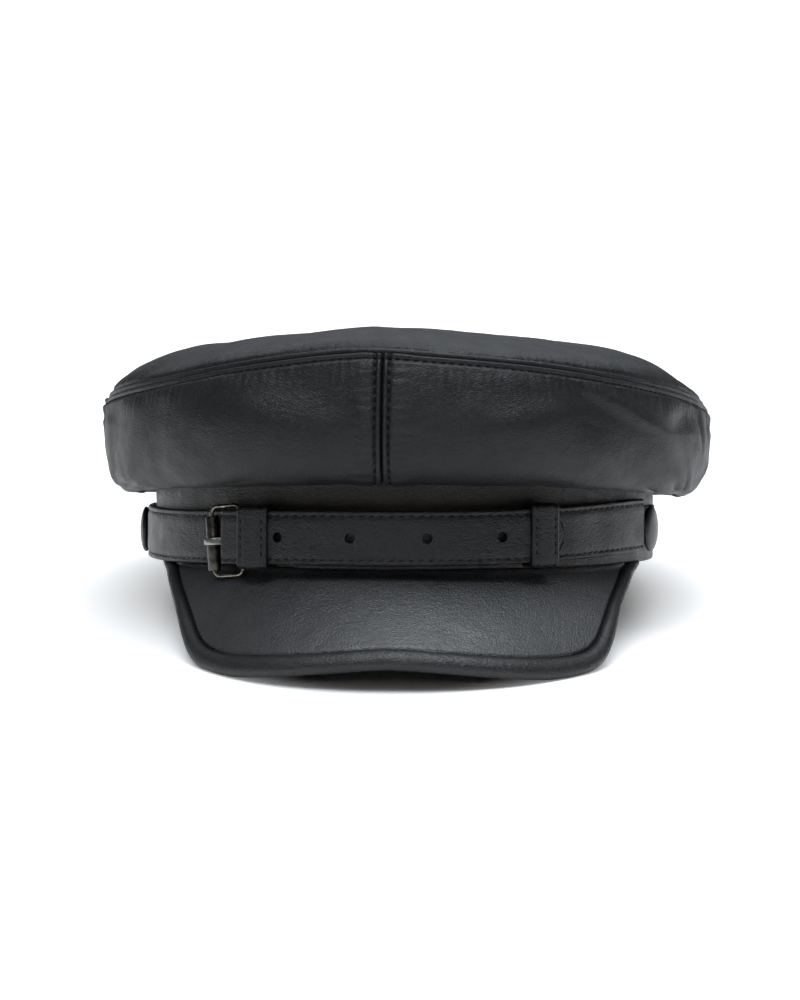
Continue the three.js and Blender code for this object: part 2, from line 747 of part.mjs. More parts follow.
// A flat prong bent round the bar, up through the tongue and over the roller
function buckleProng() {
  const eye = wireRadius + runningClearance + prongThickness / 2;
  const over = rollerRadius + gap + prongThickness / 2;
  const points = [];
  for (let degrees = -10; degrees <= 270; degrees += 28) {
    const around = radians(degrees);
    points.push([barAxis.x + eye * Math.sin(around), barAxis.y + eye * Math.cos(around)]);
  }
  const under = barAxis.y - eye;
  points.push([rollerAxis.x + prongLift * rollerRadius, under - prongThickness / 2]);
  points.push([rollerAxis.x + prongMeet * rollerRadius, rollerAxis.y - over + prongThickness / 3]);
  points.push([rollerAxis.x, rollerAxis.y - over]);
  points.push([rollerAxis.x - prongOverhang, rollerAxis.y - over + prongThickness / 2]);
  const line = points.map(([x, y]) => new THREE.Vector2(x, y));
  const sections = line.map((point, i) => {
    const before = line[Math.max(i - 1, 0)];
    const after = line[Math.min(i + 1, line.length - 1)];
    const tangent = after.clone().sub(before).normalize();
    const corner = (side, z) =>
      new THREE.Vector3(
        point.x - (tangent.y * side * prongThickness) / 2,
        point.y + (tangent.x * side * prongThickness) / 2,
        (z * prongWidth) / 2,
      );
    return [corner(-1, -1), corner(1, -1), corner(1, 1), corner(-1, 1)];
  });
  return body(sections);
}

function button() {
  const profile = [[0, 0]];
  const steps = 5;
  for (let i = 0; i <= steps; i += 1) {
    const around = (i / steps) * (Math.PI / 2);
    const height = THREE.MathUtils.lerp(buttonEdge, 1, Math.sin(around));
    profile.push([buttonRadius * Math.cos(around), buttonDome * height]);
  }
  profile.splice(1, 0, [buttonRadius - buttonDome / 4, 0]);
  profile[profile.length - 1][0] = 0;
  const points = profile.map(([radius, height]) => new THREE.Vector2(radius, height));
  return new THREE.LatheGeometry(points, 20).rotateX(Math.PI);
}

const leather = new THREE.MeshStandardMaterial({ color: 0x2a2a2c, roughness: 0.5, metalness: 0 });
const strapLeather = new THREE.MeshStandardMaterial({ color: 0x262628, roughness: 0.55, metalness: 0 });
const bronze = new THREE.MeshStandardMaterial({ color: 0x55524a, roughness: 0.4, metalness: 1 });
const steel = new THREE.MeshStandardMaterial({ color: 0x9a9a98, roughness: 0.35, metalness: 1 });

function piece(name, geometry, material, holder) {
  const mesh = new THREE.Mesh(geometry, material);
  mesh.name = name;
  holder.add(mesh);
  return mesh;
}

const cap = new THREE.Group();
cap.rotation.x = -restTilt;
cap.position.z = restLift;

const backSeamTurn = 180;
piece('crown_top', topPanel(), leather, cap);
piece('side_panel_front_left', sidePanel(-sideSeamTurn, frontSeamTurn), leather, cap);
piece('side_panel_front_right', sidePanel(frontSeamTurn, sideSeamTurn), leather, cap);
piece('side_panel_back_left', sidePanel(-backSeamTurn, -sideSeamTurn), leather, cap);
piece('side_panel_back_right', sidePanel(sideSeamTurn, backSeamTurn), leather, cap);
piece('band', band(), leather, cap);
piece('peak', peak(), leather, cap);
piece('peak_rim', peakRim(), leather, cap);
piece('strap_tongue', tongueStrap(), strapLeather, cap);
piece('strap_buckle_side', buckleSideStrap(), strapLeather, cap);
piece('keeper_fixed', keeper(keeperFixedTurn, keeperBow), strapLeather, cap);
piece('keeper_sliding', keeper(keeperSlidingTurn, 0), strapLeather, cap);
cap.add(buckle);
piece('buckle_frame', buckleFrame(), bronze, buckle);
piece('buckle_roller', buckleRoller(), bronze, buckle);
piece('buckle_prong', buckleProng(), steel, buckle);

const leftSeatOut = tongueOut(buttonLeftTurn) + strapThickness + gap;
const leftSeat = seat(buttonLeftTurn, leftSeatOut, strapHeight(buttonLeftTurn));
const rightOut = buckleSideOut(buttonRightTurn) + tabThickness + gap;
const rightSeat = seat(buttonRightTurn, rightOut, strapHeight(buttonRightTurn) - buttonRightDrop);
cap.add(leftSeat, rightSeat);
piece('button_left', button(), leather, leftSeat);
piece('button_right', button(), leather, rightSeat);

// The middle of the outline goes over the origin
const part = new THREE.Group();
part.add(cap);
part.updateMatrixWorld(true);
const extent = new THREE.Box3().setFromObject(part, true);
const middle = extent.getCenter(new THREE.Vector3());
cap.position.x -= middle.x;
cap.position.y -= middle.y;
part.updateMatrixWorld(true);

export default part;
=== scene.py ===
import math

import bmesh
import bpy
import numpy as np
from mathutils import Matrix, Vector


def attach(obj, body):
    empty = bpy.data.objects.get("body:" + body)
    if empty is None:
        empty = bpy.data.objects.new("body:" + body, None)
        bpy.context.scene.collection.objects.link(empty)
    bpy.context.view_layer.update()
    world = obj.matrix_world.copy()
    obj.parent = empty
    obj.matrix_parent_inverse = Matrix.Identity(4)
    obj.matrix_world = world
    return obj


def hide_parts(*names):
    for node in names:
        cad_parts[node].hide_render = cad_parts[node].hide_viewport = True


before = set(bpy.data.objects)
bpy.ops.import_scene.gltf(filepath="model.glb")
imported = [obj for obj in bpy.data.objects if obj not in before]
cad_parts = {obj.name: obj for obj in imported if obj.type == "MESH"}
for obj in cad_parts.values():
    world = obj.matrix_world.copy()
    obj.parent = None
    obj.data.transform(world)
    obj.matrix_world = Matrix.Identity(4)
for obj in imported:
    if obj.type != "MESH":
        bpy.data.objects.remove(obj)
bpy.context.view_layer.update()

# Sizes in millimetres and degrees, as the solids have them. ROLLER_TURN, FRAME_CORNER and the skew of the
# peak differ a little, to follow the photograph.
BAND_WALL = 2.4
BAND_A = 83 + BAND_WALL
BAND_B = 98 + BAND_WALL
BAND_HEIGHT = 32
GAP = 0.3
CROWN_WALL = 2.0
CROWN_HEIGHT = 37.1
CROWN_OVERHANG = 20
FOLD_DROOP = 12
TOP_PUFF = 14
TOP_SHOULDER = 9
FRONT_SEAM = -1.9
SIDE_SEAM = 97
DENT_DEPTH = 1.6
DENTS_IN, DENTS_OUT = (0.1, 0.4), (0.9, 1)
SEAT_UP, FOLD_UP, BELLY_UP = 0.05, 0.25, 0.55
PEAK_SPREAD, PEAK_REACH, PEAK_DROP = 68, 37, 31.6
PEAK_THICKNESS, PEAK_BULGE = 3, 1
RIM_WIDTH, RIM_THICKNESS = 7, 5.4
STRAP_WIDTH, STRAP_THICKNESS = 17.4, 2.2
STRAP_MIDDLE, STRAP_RISE = 9.9, 2.8
TONGUE_START, TONGUE_TIP = -94, 35.8
TIP_TAPER, TIP_WIDTH = 4.2, 3
HOLE_DIAMETER, FIRST_HOLE, HOLE_PITCH, HOLE_COUNT = 3, -23.8, 15.2, 4
BUCKLE_SIDE_END, TAB_END, TAB_WIDTH, TAB_THICKNESS = 67, 80, 12, 1
KEEPER_WIDTH, KEEPER_WALL, KEEPER_CORNER = 9.6, 1, 0.6
KEEPER_FIXED, KEEPER_SLIDING, KEEPER_BOW = -29.1, 31.1, 0.8
ROLLER_TURN, BAR_TURN = -41.0, -34.3
WIRE_RADIUS, FRAME_HEIGHT, FRAME_CORNER = 0.7, 22.6, 2.3
BUCKLE_MIDDLE, BUCKLE_LEAN = 8, 5
ROLLER_RADIUS, ROLLER_LENGTH = 2.1, 17.8
FOLD_WALL, PRONG_WIDTH, PRONG_THICKNESS, PRONG_OVERHANG = 1, 2.6, 1, 2.2
CLEARANCE = 0.2
BUTTON_LEFT, BUTTON_RIGHT, BUTTON_RADIUS, BUTTON_DOME, BUTTON_RIGHT_DROP = -88, 72.2, 7.7, 2.8, 1.6
REST_TILT = 8.956661
REST_FLAT = 0.6
SHIFT = (-1.001, 7.640)

# turn, rim out, rim rise, belly out, belly rise, fold drop, shoulder
CROWN = np.array([
    (-180, 0.70, 0.33, 1.00, 0.06, 1.00, 0.60),
    (-135, 0.76, 0.42, 0.97, 0.16, 1.00, 0.80),
    (-90, 0.82, 0.56, 0.90, 0.36, 0.85, 1.00),
    (-60, 0.82, 0.68, 0.96, 0.34, 0.72, 1.00),
    (-44, 0.80, 0.77, 1.02, 0.33, 0.60, 0.85),
    (-23, 0.76, 0.915, 1.07, 0.34, 0.49, 0.68),
    (-7, 0.70, 0.995, 1.00, 0.35, 0.44, 0.64),
    (8, 0.70, 0.965, 1.00, 0.35, 0.43, 0.64),
    (25, 0.76, 0.895, 1.06, 0.34, 0.47, 0.62),
    (46, 0.82, 0.77, 1.04, 0.32, 0.60, 0.85),
    (62, 0.84, 0.675, 1.00, 0.30, 0.74, 1.00),
    (90, 0.87, 0.51, 1.00, 0.26, 0.87, 1.00),
    (135, 0.78, 0.40, 1.00, 0.13, 1.00, 0.80),
])
# turn, up, wide, tall, lean, depth
DENTS = (
    (-14, 0.8, 9, 0.22, -20, -1),
    (-34, 0.72, 9, 0.3, 0, 0.5),
    (9, 0.68, 8, 0.25, 10, -0.6),
    (24, 0.6, 10, 0.16, 30, 0.7),
    (36, 0.75, 5, 0.22, -40, -0.8),
    (66, 0.7, 6, 0.2, 20, -0.5),
    (-68, 0.68, 6, 0.2, -20, -0.5),
    (140, 0.7, 14, 0.25, 20, -0.8),
    (-150, 0.66, 12, 0.25, -25, -0.7),
)
# turn as a share of the spread, reach, drop, rim
PEAK_HALF = [
    (0, 1, 0.86, 1), (0.107, 1, 0.9, 1), (0.18, 0.975, 0.934, 1), (0.27, 0.94, 0.973, 1),
    (0.36, 0.87, 1, 1), (0.434, 0.8, 0.99, 0.95), (0.5, 0.73, 0.935, 0.85), (0.55, 0.65, 0.83, 0.75),
    (0.61, 0.515, 0.62, 0.65), (0.706, 0.33, 0.37, 0.6), (0.88, 0.1, 0.11, 0.6), (1, 0, 0.03, 0.6),
]
PEAK_SKEW_LEFT, PEAK_SKEW_RIGHT = -0.05, 0.075
SKEW_TURN, SKEW_WIDE = 0.56, 0.14
PEAK = np.array([(-t, a, b, c) for t, a, b, c in PEAK_HALF[:0:-1]] + PEAK_HALF)
for side, skew in ((-1, PEAK_SKEW_LEFT), (1, PEAK_SKEW_RIGHT)):
    PEAK[:, 1] *= 1 + skew * np.exp(-(((PEAK[:, 0] - SKEW_TURN * side) / SKEW_WIDE) ** 2))
MM_PER_DEGREE = 1.62  # along the band
# turn, lift
COURSE = np.array([
    (-100, -0.25), (-60, -0.5), (-20, -0.03), (0, 0), (22, 0.17), (36, 0.4), (64, 0.95), (90, 1.1),
])


def along(table, column, at, period=0.0):
    """Smooth curve through a table's column, as the solids follow it"""
    at = np.asarray(at, float)
    t, v = table[:, 0], table[:, column]
    if period:
        at = at - np.floor((at - t[0]) / period) * period
        t = np.concatenate([[t[-1] - period], t, [t[0] + period, t[1] + period]])
        v = np.concatenate([[v[-1]], v, v[:2]])
    else:
        t = np.concatenate([t[:1], t, t[-1:]])
        v = np.concatenate([v[:1], v, v[-1:]])
    i = np.clip(np.searchsorted(t[1:-1], at, side="right") - 1, 0, len(t) - 4)
    span = t[i + 2] - t[i + 1]
    start_slope = (v[i + 2] - v[i]) / (t[i + 2] - t[i])
    end_slope = (v[i + 3] - v[i + 1]) / (t[i + 3] - t[i + 1])
    u = (at - t[i + 1]) / span
    return (v[i + 1] * (2 * u**3 - 3 * u**2 + 1) + v[i + 2] * (3 * u**2 - 2 * u**3)
            + span * start_slope * (u**3 - 2 * u**2 + u) + span * end_slope * (u**3 - u**2))


def ease(x, a, b):
    u = np.clip((np.asarray(x, float) - a) / (b - a), 0, 1)
    return u * u * (3 - 2 * u)


def bell(x, width):
    return np.exp(-((x / width) ** 2))


def place(turn, out, z):
    """Point in the cap's own frame, some way out from the band's outer face"""
    turn, out, z = np.broadcast_arrays(np.asarray(turn, float), out, z)
    s, c = np.sin(np.radians(turn)), np.cos(np.radians(turn))
    n = np.hypot(BAND_B * s, BAND_A * c)
    return np.stack([BAND_A * s + out * BAND_B * s / n, -BAND_B * c - out * BAND_A * c / n, z], -1)


def turn_for(turn, length):
    s, c = math.sin(math.radians(turn)), math.cos(math.radians(turn))
    return math.degrees(length / math.hypot(BAND_A * c, BAND_B * s))


def noise(p, seed=0):
    """Smooth noise from -1 to 1 at points p, with features of about one unit"""
    values = np.random.default_rng(seed).uniform(-1, 1, 8192)
    cell = np.floor(p).astype(np.int64)
    f = p - cell
    f = f**3 * (f * (f * 6 - 15) + 10)
    total = 0
    for corner in range(8):
        step = np.array([corner & 1, corner >> 1 & 1, corner >> 2])
        x, y, z = np.moveaxis(cell + step, -1, 0)
        weight = np.prod(np.where(step, f, 1 - f), axis=-1)
        total = total + weight * values[(x * 73856093 ^ y * 19349663 ^ z * 83492791) & 8191]
    return total


TILT = math.radians(REST_TILT)
LIFT = BAND_B * math.sin(TILT) - REST_FLAT


def to_row(p):
    """From the cap's own frame in millimetres to the resting frame, still in millimetres"""
    x, y, z = np.moveaxis(np.asarray(p, float), -1, 0)
    c, s = math.cos(TILT), math.sin(TILT)
    return np.stack([x + SHIFT[0], y * c + z * s + SHIFT[1], -y * s + z * c + LIFT], -1)


def normals(p):
    """Unit normals of a grid of points"""
    n = np.cross(np.gradient(p, axis=0), np.gradient(p, axis=1))
    return n / np.maximum(np.linalg.norm(n, axis=-1, keepdims=True), 1e-9)


def unit(v):
    return v / np.linalg.norm(v, axis=-1, keepdims=True)


def upward(n):
    return np.where(n[..., 2:] < 0, -n, n)


def ring_normals(p):
    """Upward normals of a grid whose first axis runs all the way round"""
    return upward(normals(np.concatenate([p[-1:], p, p[:1]]))[1:-1])


def thinned(p, step):
    """Every so many columns of a grid, and its last one"""
    return np.concatenate([p[:, ::step], p[:, -1:]], 1)


def circle(steps):
    return np.linspace(0, 2 * np.pi, steps, endpoint=False)


def squared(v, power):
    """A sine or cosine made squarer, for sections between a circle and a box"""
    return np.sign(v) * np.abs(v) ** power


def run_length(p, axis):
    """Distance along one way of a grid, from its first line"""
    step = np.linalg.norm(np.diff(p, axis=axis), axis=-1)
    return np.concatenate([np.zeros_like(np.take(step, [0], axis)), np.cumsum(step, axis)], axis)


def spaced(length, fine, coarse, edge, ends=(True, True)):
    """Positions from 0 to 1 along a length, closer together near its ends"""
    at = [0.0]
    while at[-1] < length:
        near = min(at[-1] if ends[0] else 1e9, length - at[-1] if ends[1] else 1e9)
        at.append(at[-1] + fine + (coarse - fine) * float(ease(near, edge * 0.6, edge * 1.8)))
    at = np.array(at)
    return at / at[-1]


# Faces and objects

def linked(name, data):
    obj = bpy.data.objects.new(name, data)
    bpy.context.scene.collection.objects.link(obj)
    return obj


def grid_faces(ids, wrap=False):
    a = ids if not wrap else np.concatenate([ids, ids[:1]])
    return np.stack([a[:-1, :-1], a[1:, :-1], a[1:, 1:], a[:-1, 1:]], -1).reshape(-1, 4)


def shell(outer, inner, loop=False):
    """Closed wall between an outer and an inner grid with the same columns"""
    n, m, k = outer.shape[0], outer.shape[1], inner.shape[1]
    points = np.concatenate([outer.reshape(-1, 3), inner.reshape(-1, 3)])
    o = np.arange(n * m).reshape(n, m)
    i = n * m + np.arange(n * k).reshape(n, k)
    faces = [*grid_faces(o, loop), *grid_faces(i, loop)[:, ::-1]]
    for side in (0, -1):
        pair = np.stack([i[:, side], o[:, side]], 1)
        faces += [*grid_faces(pair, loop)]
    if not loop:
        for end in (0, -1):
            faces.append(np.concatenate([o[end], i[end][::-1]]))
    return points, [list(map(int, f)) for f in faces]


def tube(rings, loop=False):
    """Closed body through rings of points"""
    n, m = rings.shape[:2]
    ids = np.arange(n * m).reshape(n, m)
    ids = np.concatenate([ids, ids[:, :1]], 1)
    faces = [*grid_faces(ids, loop)]
    if not loop:
        faces += [ids[0, :-1], ids[-1, :-1][::-1]]
    return rings.reshape(-1, 3), [list(map(int, f)) for f in faces]


def mesh_of(name, p, faces, weld):
    """Mesh in metres of points in millimetres, with its faces turned outwards"""
    mesh = bpy.data.meshes.new(name)
    mesh.from_pydata((p / 1000).tolist(), [], faces)
    bm = bmesh.new()
    bm.from_mesh(mesh)
    if weld:
        bmesh.ops.remove_doubles(bm, verts=bm.verts, dist=1e-6)
        bmesh.ops.delete(bm, geom=[e for e in bm.edges if not e.link_faces], context="EDGES")
    bmesh.ops.recalc_face_normals(bm, faces=bm.faces)
    bm.to_mesh(mesh)
    bm.free()
    return mesh


def make(name, parts, material, node=None, pressed=False, sharp=None):
    """One object of points and faces given in the cap's own frame"""
    points, faces, start = [], [], 0
    for p, f in parts:
        points.append(p)
        faces += [[v + start for v in face] for face in f]
        start += len(p)
    p = to_row(np.concatenate(points))
    if pressed:
        p[:, 2] = np.maximum(p[:, 2], 0)
    mesh = mesh_of(name, p, faces, True)
    mesh.shade_smooth()
    if sharp:
        mesh.set_sharp_from_angle(angle=math.radians(sharp))
    mesh.materials.append(material)
    obj = linked(name, mesh)
    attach(obj, "root")
    if node:
        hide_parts(*([node] if isinstance(node, str) else node))
    return obj


# Threads

def stitches(path, up, length, radius, pitch, raised, slant=0.0):
    """Short threads along a path of points with their normals"""
    s = np.concatenate([[0], np.cumsum(np.linalg.norm(np.diff(path, axis=0), axis=1))])
    middles = np.arange(pitch / 2, s[-1] - pitch * 0.4, pitch)
    parts = np.linspace(-1, 1, 7)
    around = circle(8)
    at = middles[:, None] + parts[None] * length / 2
    centre = np.stack([np.interp(at, s, path[:, k]) for k in range(3)], -1)
    normal = np.stack([np.interp(at, s, up[:, k]) for k in range(3)], -1)
    normal = unit(normal)
    forward = unit(centre[:, -1:] - centre[:, :1])
    side = np.cross(normal, forward)
    centre = centre + side * (parts * slant)[None, :, None]
    arch = raised * (1 - parts**2) - 0.35 * radius * parts**6
    size = radius * np.sqrt(np.maximum(1 - parts**6, 0.05))
    centre = centre + normal * arch[None, :, None]
    wide, tall = (size[:, None] * way(around) for way in (np.cos, np.sin))
    rings = (centre[:, :, None] + side[:, :, None] * wide[None, :, :, None]
             + normal[:, :, None] * tall[None, :, :, None])
    return [tube(ring) for ring in rings]


def iso(p, n, distance, value):
    """The line on a grid, one point for each row of its first axis, where distance reaches value"""
    out = []
    for points, norms, d in zip(p, n, distance):
        order = np.argsort(d)
        out.append([np.interp(value, d[order], a[order, k]) for a in (points, norms) for k in range(3)])
    out = np.array(out)
    return out[:, :3], out[:, 3:]


# Crown

def humps(rows, turn, up):
    """Height of leaning swells and hollows at a place on the crown's side"""
    total = 0
    for middle, height, wide, tall, lean, rise in rows:
        aside = (turn - middle - lean * (up - height) + 180) % 360 - 180
        total = total + rise * bell(aside, wide) * bell(up - height, tall)
    return total


def crown_side(turn, up):
    """Outer face of the crown's side: up runs from the band at 0 to the rim seam at 1"""
    turn, up = np.broadcast_arrays(np.asarray(turn, float), np.asarray(up, float))
    rim_out, rim_rise, belly_out, belly_rise, fold_drop = (along(CROWN, k, turn, 360) for k in range(1, 6))
    belly_out, belly_z = CROWN_OVERHANG * belly_out, BAND_HEIGHT + CROWN_HEIGHT * belly_rise
    fold_out, fold_z = belly_out / 2, BAND_HEIGHT - FOLD_DROOP * fold_drop
    rim_out, rim_z = CROWN_OVERHANG * rim_out, BAND_HEIGHT + CROWN_HEIGHT * rim_rise
    seam_z = BAND_HEIGHT + GAP
    u = np.clip(up / SEAT_UP, 0, 1)
    out, z = -BAND_WALL + (GAP + BAND_WALL) * u, np.full_like(up, seam_z)
    u = np.clip((up - SEAT_UP) / (FOLD_UP - SEAT_UP), 0, 1)
    out = np.where(up >= SEAT_UP, GAP + (fold_out - GAP) * u, out)
    z = np.where(up >= SEAT_UP, seam_z + (fold_z - seam_z) * u * u * (3 - 2 * u), z)
    u = np.clip((up - FOLD_UP) / (BELLY_UP - FOLD_UP), 0, 1) * np.pi / 2
    out = np.where(up >= FOLD_UP, fold_out + (belly_out - fold_out) * np.sin(u), out)
    z = np.where(up >= FOLD_UP, belly_z - (belly_z - fold_z) * np.cos(u), z)
    u = np.clip((up - BELLY_UP) / (1 - BELLY_UP), 0, 1)
    out = np.where(up >= BELLY_UP, belly_out + (rim_out - belly_out) * u * u, out)
    z = np.where(up >= BELLY_UP, belly_z + (rim_z - belly_z) * u, z)
    strength = DENT_DEPTH * ease(up, *DENTS_IN) * (1 - ease(up, *DENTS_OUT))
    return place(turn, out + humps(DENTS, turn, up) * strength, z)


RIM_FRONT, RIM_BACK = crown_side(0, 1), crown_side(180, 1)
RIM_MEAN = (RIM_FRONT[2] + RIM_BACK[2]) / 2
RIM_SLOPE = (RIM_FRONT[2] - RIM_BACK[2]) / (RIM_FRONT[1] - RIM_BACK[1])
RIM_MIDDLE = (RIM_FRONT[1] + RIM_BACK[1]) / 2


def crown_top(turn, inward):
    turn, inward = np.broadcast_arrays(np.asarray(turn, float), np.asarray(inward, float))
    rim = crown_side(turn, np.ones_like(turn))
    share = 1 - inward
    x, y = rim[..., 0] * share, rim[..., 1] * share
    waver = rim[..., 2] - RIM_MEAN - RIM_SLOPE * (rim[..., 1] - RIM_MIDDLE)
    plane = RIM_MEAN + RIM_SLOPE * (y - RIM_MIDDLE)
    shoulder = TOP_SHOULDER * along(CROWN, 6, turn, 360)
    return np.stack([x, y, plane + waver * share**2 + TOP_PUFF * (1 - share**shoulder)], -1)


STITCH_PITCH = 2.9
ROW_ASIDE = 2.1
SEAM_STITCH = {"length": 2.0, "radius": 0.22, "pitch": STITCH_PITCH, "raised": 0.02}
FLAT_BY_SEAM = 0.8  # share of the slack that a seam takes out beside it
TOP_SLACK = 1.3  # slack of the top panel, where the side's is 1


def seam_relief(d, s):
    """Height of leather beside a sewn seam, d away from it and s along it"""
    welt = 0.42 * bell(d - 1.05, 0.7)
    groove = -0.8 * bell(d, 0.3)
    dimple = 0.55 - 0.45 * np.cos(2 * np.pi * s / STITCH_PITCH)
    row = -0.62 * bell(d - ROW_ASIDE, 0.36) * (0.45 + 0.55 * dimple)
    swell = (0.35 + 0.14 * dimple) * ease(d, 2.3, 3.6) * (1 - ease(d, 5, 12))
    return welt + groove + row + swell


def pucker(p, s, d, seed):
    """Small folds that run away from a seam"""
    line = np.stack([s / 3.1, d / 9, np.zeros_like(s)], -1)
    fine = np.stack([s / 1.5, d / 5, np.zeros_like(s) + 3], -1)
    return (0.17 * noise(line, seed) + 0.08 * noise(fine, seed + 1)) * bell(d - 4, 5) * ease(d, 1.8, 3.2)


def skin(p):
    """Slack of thin leather all over"""
    wide = noise(p / np.array([24, 24, 17]), 3) * 0.6
    mid = noise(p / np.array([9, 9, 6.5]), 5) * 0.16
    low = noise(p / np.array([3.6, 3.6, 2.4]), 7) * 0.03
    return wide + mid + low


# Broad swells and hollows of the crown's side: turn, up, wide, tall, lean, height in mm
SWELLS = (
    (-28, 0.6, 7, 0.2, 0, 1.2), (-13, 0.72, 6, 0.18, -10, -0.2), (20, 0.74, 8, 0.12, 20, -0.3),
    (24, 0.46, 9, 0.1, 10, 0.5), (49, 0.64, 4, 0.3, -50, 1.0), (42, 0.5, 4, 0.2, -50, -0.8),
    (64, 0.74, 5, 0.2, 20, -0.7), (-45, 0.62, 6, 0.25, 20, -0.6), (-62, 0.4, 6, 0.1, 20, 0.7),
    (62, 0.38, 7, 0.09, -20, 0.8), (-86, 0.74, 12, 0.2, 0, -2.2), (88, 0.74, 12, 0.2, 0, -1.5),
)

# Creases on the crown's side: turn, up, length, angle from level in degrees, width, depth, in mm
CREASES = (
    (-79, 0.62, 24, 62, 1.8, -0.9), (-84, 0.7, 16, 60, 1.4, -0.5), (-72, 0.42, 16, 30, 1.5, -1.0),
    (-66, 0.33, 18, 14, 1.3, -1.2), (-76, 0.3, 18, -8, 1.4, -1.4), (-84, 0.38, 14, -30, 1.3, -1.2),
    (-60, 0.28, 16, 4, 1.2, -1.1), (66, 0.33, 18, -16, 1.4, -1.3), (76, 0.31, 20, 10, 1.4, -1.4),
    (84, 0.4, 14, 34, 1.3, -1.2), (60, 0.28, 18, -6, 1.2, -1.1), (70, 0.36, 14, -34, 1.3, -1.0),
    (72, 0.62, 20, -58, 1.6, -0.55), (78, 0.7, 14, -70, 1.4, -0.4), (68, 0.52, 12, -30, 1.4, -0.3),
    (-60, 0.34, 16, 12, 1.8, -0.35), (58, 0.34, 18, -10, 1.8, -0.4), (30, 0.3, 20, -8, 1.8, -0.3),
    (-30, 0.32, 22, 6, 1.8, -0.3), (-12, 0.3, 16, -6, 1.6, -0.25), (118, 0.6, 26, 40, 2.0, -0.6),
    (150, 0.5, 22, -30, 2.0, -0.5), (-120, 0.58, 24, -45, 2.0, -0.6), (-155, 0.46, 20, 25, 2.0, -0.5),
)


def creases(p):
    total = 0
    for middle, up, length, angle, width, depth in CREASES:
        centre = crown_side(middle, up)
        along_way = crown_side(middle + 1, up) - centre
        along_way /= np.linalg.norm(along_way)
        rise = crown_side(middle, up + 0.02) - centre
        rise /= np.linalg.norm(rise)
        q = p - centre
        a, b = q @ along_way, q @ rise
        t = math.radians(angle)
        u, v = a * math.cos(t) + b * math.sin(t), -a * math.sin(t) + b * math.cos(t)
        v = v + 0.9 * np.sin(u / 6 + 2 * middle)
        near = (q**2).sum(-1) < (2.5 * length) ** 2
        fold = bell(v, width) - 0.6 * bell(v - 2.4 * width, 1.6 * width)
        total = total + near * depth * bell(u, length / 2) * fold
    return total


def side_panel(name, start, end, seed):
    edge = turn_for((start + end) / 2, GAP / 4)
    columns = start + edge + (end - start - 2 * edge) * spaced(280, 0.3, 0.75, 6)
    ups = np.concatenate([
        np.linspace(0, SEAT_UP, 3)[:-1], np.linspace(SEAT_UP, FOLD_UP, 20)[:-1],
        np.linspace(FOLD_UP, BELLY_UP, 50)[:-1], np.linspace(BELLY_UP, 0.84, 34)[:-1],
        np.linspace(0.84, 0.997, 34),
    ])
    turn, up = np.meshgrid(columns, ups, indexing="ij")
    p = crown_side(turn, up)
    n = normals(p)
    round_way = run_length(p, 0)
    d_start, d_end = round_way, round_way[-1:] - round_way
    rise = run_length(p, 1)
    d_rim = rise[:, -1:] - rise
    s_rim = np.repeat(round_way[:, -1:], rise.shape[1], 1)
    h = seam_relief(d_start, rise) + seam_relief(d_end, rise) + seam_relief(d_rim, s_rim)
    for k, (d, s) in enumerate(((d_start, rise), (d_end, rise), (d_rim, s_rim))):
        h = h + pucker(p, s, d, seed + 2 * k)
    loose = ease(up, 0.08, 0.3)
    nearest = np.minimum(np.minimum(d_start, d_end), d_rim)
    h = h + (skin(p) * (1 - FLAT_BY_SEAM * bell(nearest, 4)) + creases(p)) * loose
    h = h + humps(SWELLS, turn, up) * loose * ease(d_rim, 2, 8)
    outer = p + n * h[..., None]
    make(name, [shell(outer, thinned(p - n * CROWN_WALL, 4))], crown_leather, name)
    n = normals(outer)
    threads = []
    for distance in (d_start, d_end):
        path, up_way = iso(*(np.swapaxes(grid, 0, 1)[8:] for grid in (outer, n, distance)), ROW_ASIDE)
        threads += stitches(path[:-3], up_way[:-3], **SEAM_STITCH)
    path, up_way = iso(outer, n, d_rim, ROW_ASIDE)
    threads += stitches(path[6:-6], up_way[6:-6], **SEAM_STITCH)
    make("thread_" + name, threads, thread, None)


def top_panel():
    columns = np.linspace(0, 360, 900, endpoint=False)
    inward = 0.0015 + (0.9985 - 2e-6) * spaced(100, 0.32, 2.0, 7, (True, False))
    turn, way = np.meshgrid(columns, inward, indexing="ij")
    p = crown_top(turn, way)
    n = ring_normals(p)
    n[:, -1] = n[:, -2].mean(0)
    d = run_length(p, 1)
    s = np.repeat(run_length(p, 0)[:, :1], p.shape[1], 1)
    h = seam_relief(d, s) + pucker(p, s, d, 41)
    h = h + skin(p) * (1 - FLAT_BY_SEAM * bell(d, 4)) * TOP_SLACK
    outer = p + n * h[..., None]
    wall = shell(outer, thinned(p - n * CROWN_WALL, 5), True)
    make("crown_top", [wall], crown_leather, "crown_top")
    path, up_way = iso(outer, ring_normals(outer), d, ROW_ASIDE)
    make("thread_crown_top", stitches(path, up_way, **SEAM_STITCH), thread, None)


BAND_EDGE = 0.9  # rounding of the band's bottom edge


